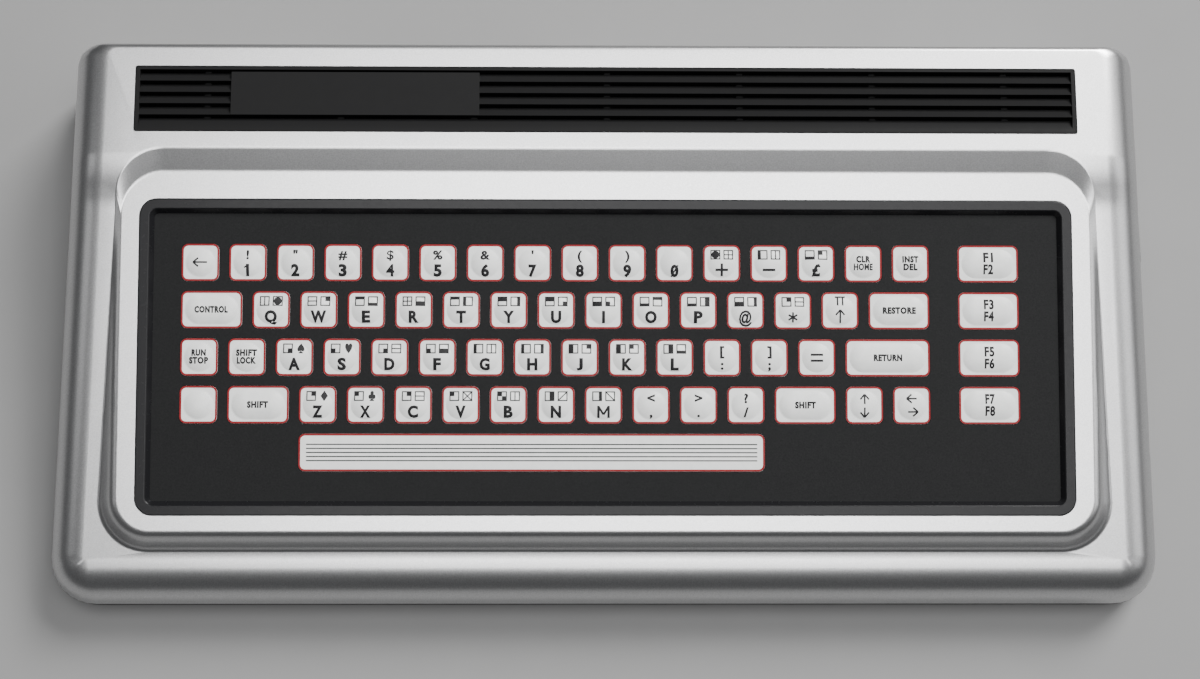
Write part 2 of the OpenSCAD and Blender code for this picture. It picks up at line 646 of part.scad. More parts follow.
// Grille of slanted fins with a plain badge plate, dropped in from below
fin_run = fin_pitch - fin_slot;
grille_y1 = louvre_d / 2 - seam_fit - louvre_rim_rear;
grille_w = louvre_w - 2 * seam_fit - 2 * louvre_rim;
rib_count = 7;
module fin(y_rear) {
    rotate([90, 0, 90]) translate([0, 0, -grille_w / 2]) linear_extrude(grille_w)
        polygon([[y_rear, -louvre_t], [y_rear, -fin_rise], [y_rear - fin_run, 0],
            [y_rear - fin_run, -louvre_t]]);
}
module louvre_insert() color([0.12, 0.12, 0.12])
    translate([0, louvre_y, plateau_plane_z(louvre_y)]) rotate([plateau_slope, 0, 0]) {
        outer_w = louvre_w - 2 * seam_fit;
        outer_d = louvre_d - 2 * seam_fit;
        difference() {
            union() {
                slab(outer_w, outer_d, louvre_r - seam_fit / 2, -louvre_t - 1.5, 0);
                slab(outer_w + 2 * louvre_flange, outer_d + 2 * louvre_flange, louvre_r + louvre_flange,
                    -louvre_t - 1.5, -louvre_t - fit);
            }
            block(-grille_w / 2, grille_w / 2, grille_y1 - grille_d, grille_y1, -louvre_t - 2, 1);
        }
        for (i = [0:fin_count - 1]) fin(grille_y1 - fin_slot - i * fin_pitch);
        for (i = [0:rib_count - 1]) translate([(i - (rib_count - 1) / 2) * grille_w / rib_count, 0, 0])
            block(-1, 1, grille_y1 - grille_d, grille_y1, -louvre_t - 1, -louvre_t + 0.5);
        block(-badge_x - badge_w / 2, -badge_x + badge_w / 2, grille_y1 - grille_d + fin_pitch,
            grille_y1 - fin_slot, -louvre_t, 0);
    }

module keyboard_bezel() color([0.08, 0.08, 0.08]) on_keyboard() translate([0, -bezel_shift, 0]) {
    difference() {
        slab(bezel_w, bezel_d, bezel_r, plate_w, bezel_proud);
        slab(bezel_w - 2 * skirt_t, bezel_d - 2 * skirt_t, bezel_r - skirt_t, plate_w - 1, panel_w);
        slab(view_w, view_d, view_r, panel_w - 1, bezel_proud + 1);
        flared_slab(view_w, view_d, view_r, bezel_lip, panel_w, bezel_proud + 0.001);
    }
}

// Key layout in columns and rows of one pitch; rows are counted from the rear
ROW_CELLS = [[1, 0, 7], [1, 7, 7], [2, 1.5, 7], [2, 8.5, 6], [3, 2, 6], [3, 8, 6], [4, 2.5, 5], [4, 7.5, 5]];
SPECIAL_CELLS = [[1, 14, 1], [1, 15, 1], [2, 0.25, 1.5], [2, 14.75, 1.5], [3, 0, 1], [3, 1, 1],
    [3, 14.5, 2], [4, 0, 1], [4, 1.25, 1.5], [4, 12.75, 1.5], [4, 14, 1], [4, 15, 1],
    for (row = [1:4]) [row, function_col, function_key_units], [key_rows, 7, 10]];
ALL_CELLS = concat(SPECIAL_CELLS, [for (g = ROW_CELLS, i = [0:g[2] - 1]) [g[0], g[1] + i, 1]]);
flange_grow = 2 * key_flange;
module at_cell(c) {
    translate([-first_col + c[1] * key_pitch, first_row - (c[0] - 1) * key_pitch, 0]) children();
}
module key_windows(grow, z0, z1) {
    for (c = ALL_CELLS) at_cell(c)
        slab(c[2] * key_pitch - key_gap + grow, key_w + grow, key_r + grow / 2, z0, z1);
}
module dome(length) {
    ball_r = (dome_d * dome_d / 4 + dome_h * dome_h) / (2 * dome_h);
    reach = (length - dome_d) / 2;
    if (reach < 0.1) intersection() {
        translate([0, 0, dome_h - ball_r]) sphere(r = ball_r);
        translate([-dome_d, -dome_d, 0]) cube([2 * dome_d, 2 * dome_d, dome_h + 1]);
    }
    else {
        for (s = [0, 180]) rotate([0, 0, s]) translate([reach, 0, 0]) intersection() {
            translate([0, 0, dome_h - ball_r]) sphere(r = ball_r);
            translate([0, -dome_d, 0]) cube([dome_d, 2 * dome_d, dome_h + 1]);
        }
        intersection() {
            translate([-reach, 0, dome_h - ball_r]) rotate([0, 90, 0]) cylinder(r = ball_r, h = 2 * reach);
            translate([-reach, -dome_d, 0]) cube([2 * reach, 2 * dome_d, dome_h + 1]);
        }
    }
}
// A rigid key: plate, raised dome, retaining flange and stems over the contacts
key_top_w = panel_w + key_proud;
flange_top_w = key_top_w - key_t + 0.1;
stem_end_w = contact_w + key_travel + 0.05;
module key(units) {
    w = units * key_pitch - key_gap;
    slab(w, key_w, key_r, key_top_w - key_t, key_top_w);
    slab(w + flange_grow, key_w + flange_grow, key_r + key_flange, flange_top_w - key_flange_t, flange_top_w);
    if (units < 5) translate([0, 0, key_top_w]) dome(w - (key_w - dome_d));
    for (x = units < 2 ? [0] : units < 5 ? [-w / 5, w / 5] : [for (k = [-3:2:3]) k * w / 9])
        translate([x, 0, stem_end_w]) cylinder(d = stem_d, h = flange_top_w - key_flange_t - stem_end_w);
}
module special_key(i) color([0.86, 0.86, 0.85]) on_keyboard()
    at_cell(SPECIAL_CELLS[i]) key(SPECIAL_CELLS[i][2]);
module row_keys(i) color([0.86, 0.86, 0.85]) on_keyboard()
    for (k = [0:ROW_CELLS[i][2] - 1]) at_cell([ROW_CELLS[i][0], ROW_CELLS[i][1] + k]) key(1);

module keyboard_overlay() color([0.17, 0.17, 0.17]) on_keyboard() difference() {
    translate([0, -bezel_shift, 0]) slab(layer_w, layer_d, bezel_r - skirt_t - fit, spacer_w, panel_w);
    key_windows(2 * key_clear, spacer_w - 1, panel_w + 1);
}
module key_spacer() color([0.3, 0.3, 0.28]) on_keyboard() difference() {
    translate([0, -bezel_shift, 0]) slab(layer_w, layer_d, bezel_r - skirt_t - fit, contact_w, spacer_w);
    key_windows(flange_grow + 2 * key_clear, contact_w - 1, spacer_w + 1);
}
module contact_layer() color([0.75, 0.6, 0.3]) on_keyboard()
    translate([0, -bezel_shift, 0]) slab(layer_w, layer_d, bezel_r - skirt_t - fit, plate_w, contact_w);
tail_x = io_x + 2;
tail_w = 40;
tail_y = big_row_y + 27.3;
tail_v = (tail_y - kb_y + plate_w * sin(kb_slope)) / cos(kb_slope);
module keyboard_backplate() color([0.6, 0.6, 0.62]) on_keyboard() difference() {
    translate([0, -bezel_shift, 0]) slab(opening_w + 2 * backplate_lap, opening_d + 2 * backplate_lap,
        opening_r, plate_back_w, plate_w);
    for (x = kb_screws, s = [-1, 1])
        post(x, s * kb_screw_d - bezel_shift, small_screw_r + hole_fit, plate_back_w - 1, plate_w + 1);
    block(tail_x - tail_w / 2 - 2, tail_x + tail_w / 2 + 2, tail_v - 1.5, tail_v + 1.5,
        plate_back_w - 1, plate_w + 1);
}

// The tail runs straight down from the contact layer into a socket on the board
tail_t = 0.4;
tail_socket_h = 8;
tail_socket_d = 6;
tail_depth = 6;
module keyboard_tail() color([0.8, 0.65, 0.35])
    translate([tail_x - tail_w / 2, 0, 0]) rotate([90, 0, 90]) linear_extrude(tail_w)
        polygon([[tail_y - tail_t / 2, board_top + tail_socket_h - tail_depth],
            [tail_y + tail_t / 2, board_top + tail_socket_h - tail_depth],
            [tail_y + tail_t / 2, kb_height(tail_y + tail_t / 2, plate_w)],
            [tail_y - tail_t / 2, kb_height(tail_y - tail_t / 2, plate_w)]]);
module tail_connector() color([0.9, 0.88, 0.8]) difference() {
    block(tail_x - tail_w / 2 - 3, tail_x + tail_w / 2 + 3, tail_y - tail_socket_d / 2,
        tail_y + tail_socket_d / 2, board_top, board_top + tail_socket_h);
    block(tail_x - tail_w / 2 - fit, tail_x + tail_w / 2 + fit, tail_y - tail_t / 2 - fit,
        tail_y + tail_t / 2 + fit, board_top + tail_socket_h - tail_depth, board_top + tail_socket_h + 1);
}

notch_gap = 3.3; // between the board's notch and the screw boss that it clears
notch_x = boss_x - boss_r - notch_gap;
notch_y = boss_rear_y - boss_r - notch_gap;
tongue_y1 = rear_y - 1.5;
module main_board() color([0.1, 0.35, 0.18]) difference() {
    union() {
        block(board_x0, board_x1, board_y0, board_y1, board_z, board_top);
        block(tongue_x - tongue_w / 2, tongue_x + tongue_w / 2, board_y1, tongue_y1, board_z, board_top);
    }
    block(notch_x, board_x1 + 1, notch_y, board_y1 + 1, board_z - 1, board_top + 1);
    for (p = board_posts) post(p.x, p.y, small_screw_r + hole_fit, board_z - 1, board_top + 1);
}

// Dual in-line chip, its feet standing at height z; each bent strip is a pair of pins
lead_t = 0.3;
lead_w = 0.6;
chip_lift = 0.8;
module dip_chip(x, y, z, length, width, thick, span, pins) {
    translate([x, y, z]) {
        translate([-length / 2, -width / 2, chip_lift]) difference() {
            cube([length, width, thick]);
            translate([-0.1, width / 2, thick - 0.5]) cylinder(r = 1.2, h = 1);
        }
        mid = chip_lift + thick / 2;
        outer = span / 2 + lead_t / 2;
        for (i = [0:pins / 2 - 1])
            translate([(i - (pins / 2 - 1) / 2) * pin_pitch - lead_w / 2, 0, 0]) rotate([90, 0, 90])
                linear_extrude(lead_w) difference() {
                    translate([-outer, 0]) square([2 * outer, mid + lead_t / 2]);
                    translate([-outer + lead_t, -1]) square([2 * outer - 2 * lead_t, mid + 1 - lead_t / 2]);
                }
    }
}
wide_span = 15.24;
narrow_span = 7.62;
small_chip_w = 6.6;
small_chip_t = 3.4;
memory_pins = 18;
logic_pins = 16;
small_chip_pitch = 28;
module wide_chip(x, pins) {
    dip_chip(x, big_row_y, board_top + socket_h, chip_length(pins, chip_end), chip_w, chip_t,
        wide_span, pins);
}
module processor_chip() color([0.13, 0.13, 0.14]) wide_chip(processor_x, large_pins);
module video_chip() color([0.7, 0.68, 0.62]) wide_chip(video_x, large_pins);
module io_chip() color([0.13, 0.13, 0.14]) wide_chip(io_x, large_pins);
module sound_chip() color([0.13, 0.13, 0.14]) wide_chip(sound_x, sound_pins);
module small_chip(x, pins) {
    dip_chip(x, small_row_y, board_top, chip_length(pins, small_chip_end), small_chip_w, small_chip_t,
        narrow_span, pins);
}
module memory_and_logic_chips() color([0.13, 0.13, 0.14])
    for (i = [0:6])
        small_chip(board_x0 + 17 + i * small_chip_pitch, i < 2 ? memory_pins : logic_pins);
socket_half_d = wide_span / 2 + 1.3;
socket_rim = 2.8;
module chip_socket(x, length) translate([x, big_row_y, 0]) difference() {
    block(-length / 2, length / 2, -socket_half_d, socket_half_d, board_top, board_top + socket_h);
    for (s = [-1, 1]) translate([s * length / 4, 0, 0])
        block(2 - length / 4, length / 4 - 2, socket_rim - socket_half_d, socket_half_d - socket_rim,
            board_top - 1, board_top + socket_h + 1);
}
module chip_sockets() color([0.2, 0.2, 0.22]) {
    for (x = [io_x, processor_x, video_x]) chip_socket(x, chip_l);
    chip_socket(sound_x, sound_chip_l);
}

modulator_w = 46;
modulator_d = 40;
modulator_h = 18.4;
modulator_lap = 0.4;
modulator_lid_h = 4;
modulator_y1 = board_y1 + 2;
modulator_y0 = modulator_y1 - modulator_d;
tuning_hole_r = 2;
tuning_holes = [[8, 10], [8, 24]];
module rf_modulator() color([0.75, 0.75, 0.76]) difference() {
    top_z = board_top + modulator_h;
    half_w = modulator_w / 2;
    lap_w = half_w + modulator_lap;
    union() {
        block(jack_x - half_w, jack_x + half_w, modulator_y0, modulator_y1, board_top, top_z);
        block(jack_x - lap_w, jack_x + lap_w, modulator_y0 - modulator_lap, modulator_y1 - modulator_lap,
            top_z - modulator_lid_h, top_z + modulator_lap);
    }
    for (h = tuning_holes)
        post(jack_x + h.x, modulator_y0 + h.y, tuning_hole_r, top_z - 2, top_z + 1);
}
jack_end = rear_y - 0.4;
jack_flange_t = 1.5;
jack_bore_r = 1.7;
module tv_jack() color([0.78, 0.78, 0.74]) difference() {
    union() {
        block(jack_x - 6, jack_x + 6, modulator_y1, modulator_y1 + jack_flange_t, jack_z - 6, jack_z + 6);
        rod_y(jack_x, modulator_y1, jack_end, jack_z, jack_r);
    }
    rod_y(jack_x, modulator_y1 + 1, jack_end + 1, jack_z, jack_bore_r);
}

channel_y1 = rear_y - 5;
channel_y0 = channel_y1 - 8;
knob_w = 3;
knob_h = 2.4;
knob_reach = channel_travel / 2 + knob_w / 2;
module channel_switch() color([0.72, 0.72, 0.7]) difference() {
    block(channel_x - 6, channel_x + 6, channel_y0, channel_y1, board_top, board_top + 6);
    block(channel_x - knob_reach - slide_fit, channel_x + knob_reach + slide_fit, channel_y0 + 2,
        channel_y1 + 1, channel_z - knob_h / 2 - slide_fit, channel_z + knob_h / 2 + slide_fit);
}
module channel_slider() color([0.1, 0.1, 0.1])
    block(channel_x - knob_reach, channel_x - knob_reach + knob_w, channel_y0 + 2 + slide_fit, jack_end,
        channel_z - knob_h / 2, channel_z + knob_h / 2);

cart_back_y = rear_y - 16.5;
cart_front_y = cart_back_y - 10.5;
cart_mouth_y = rear_y - wall_t - 1.2;
card_slot_w = 57;
card_slot_h = 2;
module cartridge_connector() color([0.15, 0.15, 0.16]) translate([cartridge_x, 0, 0]) difference() {
    block(-cartridge_w / 2 - 3, cartridge_w / 2 + 3, cart_front_y, cart_mouth_y, board_top, cart_z1 + 2);
    block(-cartridge_w / 2, cartridge_w / 2, cart_back_y, cart_mouth_y + 1, cart_z0, cart_z1);
    block(-card_slot_w / 2, card_slot_w / 2, cart_front_y + 2, cart_back_y + 1,
        (cart_z0 + cart_z1) / 2 - card_slot_h / 2, (cart_z0 + cart_z1) / 2 + card_slot_h / 2);
}

contact_count = 6;
finger_w = 2.6;
finger_t = 0.1;
finger_pitch = 3.96;
module cassette_contacts() color([0.85, 0.68, 0.3])
    for (i = [0:contact_count - 1], side = [0, 1])
        translate([tongue_x + (i - (contact_count - 1) / 2) * finger_pitch - finger_w / 2, board_y1 - 1,
            side == 0 ? board_top : board_z - finger_t])
            cube([finger_w, tongue_y1 - board_y1, finger_t]);

// Nine-pin sockets: moulded body, steel flange and D-shaped shell
port_flange_x = side_x - 11.5;
port_end_x = side_x - 3.5;
port_block_l = 12;
port_block_half_w = 13;
port_block_h = 6;
port_flange_t = 1;
port_flange_half_w = 15.4;
port_flange_half_h = 6.2;
port_pin_pitch = 2.76;
port_pin_z = 1.4;
port_pin_r = 0.5;
port_pin_l = 3.4;
shell_t = 0.5;
module d_shape(grow) {
    w = port_half_w - 1 + grow;
    h = port_half_h + grow;
    polygon([[-w + 1.2, -h], [w - 1.2, -h], [w - 0.3, -h + 1], [w + 0.9, h - 1.2], [w, h], [-w, h],
        [-w - 0.9, h - 1.2], [-w + 0.3, -h + 1]]);
}
module port_shell(grow, x0, x1) {
    translate([x0, 0, side_port_z]) rotate([90, 0, 90]) linear_extrude(x1 - x0) d_shape(grow);
}
module control_ports() color([0.7, 0.7, 0.72]) for (y = port_ys) translate([0, y, 0]) {
    block(port_flange_x - port_block_l, port_flange_x, -port_block_half_w, port_block_half_w,
        board_top, side_port_z + port_block_h);
    block(port_flange_x, port_flange_x + port_flange_t, -port_flange_half_w, port_flange_half_w,
        side_port_z - port_flange_half_h, side_port_z + port_flange_half_h);
    difference() {
        port_shell(0, port_flange_x, port_end_x);
        port_shell(-shell_t, port_flange_x + port_flange_t, port_end_x + 1);
    }
    for (i = [0:8])
        translate([port_flange_x, (i < 5 ? i - 2 : i - 6.5) * port_pin_pitch,
            side_port_z + (i < 5 ? port_pin_z : -port_pin_z)])
            rod_x(0, port_pin_l, 0, 0, port_pin_r, $fn = 16);
}

socket_x0 = side_x - 19.5;
socket_x1 = side_x - 7;
socket_end_x = side_x - 2.9;
socket_half_w = 5.5;
plug_r = 2.85;
plug_depth = 9;
plug_pin_r = 1;
module power_socket() color([0.12, 0.12, 0.12]) translate([0, socket_y, 0]) {
    bore_x = socket_end_x - plug_depth;
    difference() {
        union() {
            block(socket_x0, socket_x1, -socket_half_w, socket_half_w, board_top,
                side_port_z + socket_half_w);
            rod_x(socket_x0 + 1, socket_end_x, 0, side_port_z, barrel_r);
        }
        rod_x(bore_x, socket_end_x + 1, 0, side_port_z, plug_r);
    }
    rod_x(bore_x - 1, socket_end_x - 1, 0, side_port_z, plug_pin_r);
}

switch_x0 = side_x - 27.5;
switch_front_x = side_x - 3.3;
rocker_x = side_x - 7.5;
rocker_back = 2.5;
rocker_back_half_l = 5.6;
rocker_half_l = 7.6;
rocker_half_h = 4.6;
rocker_face = 3.6;
rocker_dip = 1.4;
pivot_r = 1;
pivot_reach = 1;
pivot_half_h = rocker_half_h + pivot_reach;
module power_switch() color([0.1, 0.1, 0.1]) translate([0, switch_y, side_port_z]) difference() {
    union() {
        block(switch_x0, port_flange_x, -switch_half_w + 0.5, switch_half_w - 0.5, board_top - side_port_z,
            switch_half_h);
        block(port_flange_x, switch_front_x, -switch_half_w, switch_half_w, -switch_half_h, switch_half_h);
    }
    block(rocker_x - 4.4, switch_front_x + 1, -rocker_half_l - 1.1, rocker_half_l + 1.1,
        -rocker_half_h - slide_fit, rocker_half_h + slide_fit);
    translate([rocker_x, 0, -pivot_half_h - slide_fit])
        cylinder(r = pivot_r + hole_fit, h = 2 * (pivot_half_h + slide_fit));
}
module power_rocker() color([0.1, 0.1, 0.1])
    translate([rocker_x, switch_y, side_port_z]) rotate([0, 0, -rocker_swing / 2]) {
        translate([0, 0, -rocker_half_h]) linear_extrude(2 * rocker_half_h)
            polygon([[-rocker_back, -rocker_back_half_l], [rocker_face, -rocker_half_l],
                [rocker_face - rocker_dip, 0], [rocker_face, rocker_half_l],
                [-rocker_back, rocker_back_half_l]]);
        translate([0, 0, -pivot_half_h]) cylinder(r = pivot_r, h = 2 * pivot_half_h);
    }

sink_x0 = jack_x + modulator_w / 2 + 6;
sink_w = 24;
sink_y = board_y1 - 24;
sink_t = 2;
sink_h = 18;
sink_fins = 6;
module heat_sink() color([0.25, 0.25, 0.27]) {
    block(sink_x0, sink_x0 + sink_w, sink_y, sink_y + sink_t, board_top, board_top + sink_h);
    for (i = [0:sink_fins - 1])
        translate([sink_x0 + i * (sink_w - 1.2) / (sink_fins - 1), sink_y + sink_t, board_top + 1])
            cube([1.2, 8, sink_h - 1]);
}
module voltage_regulator() color([0.12, 0.12, 0.13]) translate([sink_x0 + sink_w / 2, sink_y, board_top]) {
    block(-5, 5, -4.5, -1.3, 4, 13);
    block(-5, 5, -1.3, 0, 4, 17);
    for (x = [-2.54, 0, 2.54]) block(x - 0.4, x + 0.4, -3.2, -2.7, 0, 4.5);
}
module crystal() color([0.8, 0.8, 0.8]) translate([jack_x + 1, big_row_y + 26, board_top]) {
    for (s = [-1, 1]) post(s * 3.2, 0, 2.3, 0.8, 12);
    block(-3.2, 3.2, -2.3, 2.3, 0.8, 12);
    slab(12.4, 5, 2.4, 0, 0.8);
}
// Each capacitor: place left of and in front of the board's right rear corner, radius, height
cap_list = [[34, 46, 6.3, 16], [40, 60, 4, 11], [256, 60, 4, 11], [144, 28, 3, 8], [128, 14, 3, 8],
    [22, 62, 3, 8], [254, 98, 3, 8], [106, 42, 3, 8]];
module capacitors() color([0.15, 0.25, 0.45]) for (c = cap_list)
    post(board_x1 - c[0], board_y1 - c[1], c[2], board_top, board_top + c[3]);
resistor_count = 10;
resistor_pitch = 8;
resistor_l = 6.4;
resistor_r = 1.2;
resistor_z = 1.5;
lead_r = 0.3;
lead_half_l = 5.3;
module resistors() color([0.75, 0.62, 0.42]) for (i = [0:resistor_count - 1])
    translate([io_x + i * resistor_pitch, big_row_y + 43, board_top]) {
        rod_y(0, -resistor_l / 2, resistor_l / 2, resistor_z, resistor_r, $fn = 24);
        rod_y(0, -lead_half_l, lead_half_l, resistor_z, lead_r, $fn = 16);
        for (s = [-1, 1]) post(0, s * (lead_half_l - lead_r), lead_r, 0, resistor_z, $fn = 16);
    }

// Screw with a cross recess, its head's underside at the origin and its shank up
module screw(head_r, head_h, shank_r, shank_l) {
    cross_l = head_r * 1.1;
    cross_w = head_r * 0.24;
    difference() {
        post(0, 0, head_r, -head_h, 0);
        for (a = [0, 90]) rotate([0, 0, a])
            block(-cross_l / 2, cross_l / 2, -cross_w / 2, cross_w / 2, -head_h - 0.1, -head_h * 0.5);
    }
    post(0, 0, shank_r, 0, shank_l);
}
module case_screws() color([0.5, 0.5, 0.52])
    for (p = case_screw_spots) translate([p.x, p.y, screw_seat_z])
        screw(case_head_r, 2, case_screw_r, parting_z + case_screw_bite - screw_seat_z);
small_head_h = 1.5;
module small_screws() color([0.62, 0.62, 0.64]) {
    on_keyboard() for (x = kb_screws, s = [-1, 1])
        translate([x, s * kb_screw_d - bezel_shift, plate_back_w])
            screw(small_head_r, small_head_h, small_screw_r, -top_t + 0.4 - plate_back_w);
    for (p = board_posts) translate([p.x, p.y, board_top]) mirror([0, 0, 1])
        screw(small_head_r, small_head_h, small_screw_r, board_t + standoff_h - 0.6);
}
foot_chamfer = 0.8;
module rubber_feet() color([0.1, 0.1, 0.1])
    for (spot = foot_spots) translate([spot.x, spot.y, 0]) rotate_extrude()
        polygon([[0, 0], [foot_r - foot_chamfer, 0], [foot_r, foot_chamfer], [foot_r, foot_h], [0, foot_h]]);

top_case();
bottom_case();
louvre_insert();
keyboard_bezel();
keyboard_overlay();
key_spacer();
contact_layer();
keyboard_backplate();
keyboard_tail();
tail_connector();
main_board();
processor_chip();
video_chip();
sound_chip();
io_chip();
memory_and_logic_chips();
chip_sockets();
rf_modulator();
tv_jack();
channel_switch();
channel_slider();
cartridge_connector();
cassette_contacts();
control_ports();
power_socket();
power_switch();
power_rocker();
voltage_regulator();
heat_sink();
crystal();
capacitors();
resistors();
case_screws();
small_screws();
rubber_feet();
special_key(0);  // key_clr_home
special_key(1);  // key_inst_del
special_key(2);  // key_control
special_key(3);  // key_restore
special_key(4);  // key_run_stop
special_key(5);  // key_shift_lock
special_key(6);  // key_return
special_key(7);  // key_plain
special_key(8);  // key_shift_left
special_key(9);  // key_shift_right
special_key(10);  // key_cursor_updown
special_key(11);  // key_cursor_leftright
special_key(12);  // key_f1_f2
special_key(13);  // key_f3_f4
special_key(14);  // key_f5_f6
special_key(15);  // key_f7_f8
special_key(16);  // key_space
row_keys(0);  // keys_row1_left
row_keys(1);  // keys_row1_right
row_keys(2);  // keys_row2_left
row_keys(3);  // keys_row2_right
row_keys(4);  // keys_row3_left
row_keys(5);  // keys_row3_right
row_keys(6);  // keys_row4_left
row_keys(7);  // keys_row4_right
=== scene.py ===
import math
import bmesh
import bpy
from mathutils import Matrix, Vector
from mathutils.bvhtree import BVHTree


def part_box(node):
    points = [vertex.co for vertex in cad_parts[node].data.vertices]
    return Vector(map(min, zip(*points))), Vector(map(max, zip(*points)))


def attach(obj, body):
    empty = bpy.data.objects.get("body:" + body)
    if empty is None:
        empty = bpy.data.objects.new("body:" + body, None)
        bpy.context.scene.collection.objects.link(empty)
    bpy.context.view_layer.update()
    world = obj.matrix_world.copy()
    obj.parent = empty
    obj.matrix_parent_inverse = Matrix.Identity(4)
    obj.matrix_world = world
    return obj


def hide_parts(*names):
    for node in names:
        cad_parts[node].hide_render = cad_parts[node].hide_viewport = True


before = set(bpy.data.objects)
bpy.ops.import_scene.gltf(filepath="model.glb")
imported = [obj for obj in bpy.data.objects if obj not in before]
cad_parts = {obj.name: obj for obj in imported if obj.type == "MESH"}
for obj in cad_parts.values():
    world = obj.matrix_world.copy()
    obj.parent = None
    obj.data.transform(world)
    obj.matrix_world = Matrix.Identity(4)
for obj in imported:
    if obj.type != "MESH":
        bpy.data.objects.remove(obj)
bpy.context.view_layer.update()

# View and room. The camera stands above the front edge and looks down on the
# keyboard, tilted a little back, as someone leaning over the desk sees it. A
# broad soft lamp hangs overhead and a second one behind, with weak side fills.
KEYBOARD_ORIGIN = Vector((0.0, -0.0072, 0.0405))
KEYBOARD_SLOPE = math.radians(7.0)
CAMERA_FROM_KEYBOARD = Vector((-0.0109, -0.1165, 0.5881))
camera_tilt, camera_pan, camera_roll = (math.radians(angle) for angle in (11.2, -0.83, 0.09))
camera_data = bpy.data.cameras.new("desk_camera")
camera_data.lens = 57.0
camera_data.sensor_width = 36.0
camera_data.clip_start = 0.01
camera = bpy.data.objects.new("desk_camera", camera_data)
camera.matrix_world = (Matrix.Translation(KEYBOARD_ORIGIN + CAMERA_FROM_KEYBOARD)
                       @ Matrix.Rotation(camera_tilt, 4, "X") @ Matrix.Rotation(camera_pan, 4, "Y")
                       @ Matrix.Rotation(camera_roll, 4, "Z"))
bpy.context.collection.objects.link(camera)
bpy.context.scene.camera = camera

def add_lamp(name, place, aim, size, power, tint=(1.0, 1.0, 1.0)):
    lamp_data = bpy.data.lights.new(name, "AREA")
    lamp_data.shape = "RECTANGLE"
    lamp_data.size, lamp_data.size_y = size
    lamp_data.energy = power
    lamp_data.color = tint
    lamp = bpy.data.objects.new(name, lamp_data)
    lamp.location = place
    lamp.rotation_euler = (Vector(aim) - Vector(place)).to_track_quat("-Z", "Y").to_euler()
    bpy.context.collection.objects.link(lamp)

BODY_MIDDLE = (0.0, 0.0, 0.03)
add_lamp("top_softbox", (0.2, 0.0, 3.0), (0.2, 0.0, 0.0), (1.9, 1.95), 76.0)
add_lamp("rear_softbox", (1.4, 1.8, 2.2), BODY_MIDDLE, (1.3, 1.3), 175.0, (1.0, 0.995, 0.985))
add_lamp("left_fill", (-2.4, 0.0, 2.0), BODY_MIDDLE, (1.1, 1.1), 3.0)
add_lamp("right_fill", (2.5, 0.0, 1.8), BODY_MIDDLE, (1.6, 1.6), 14.0)
room = bpy.data.worlds.new("studio")
room.use_nodes = True
room_air = room.node_tree.nodes["Background"]
room_air.inputs["Color"].default_value = (0.9, 0.92, 0.95, 1.0)
room_air.inputs["Strength"].default_value = 0.08
bpy.context.scene.world = room

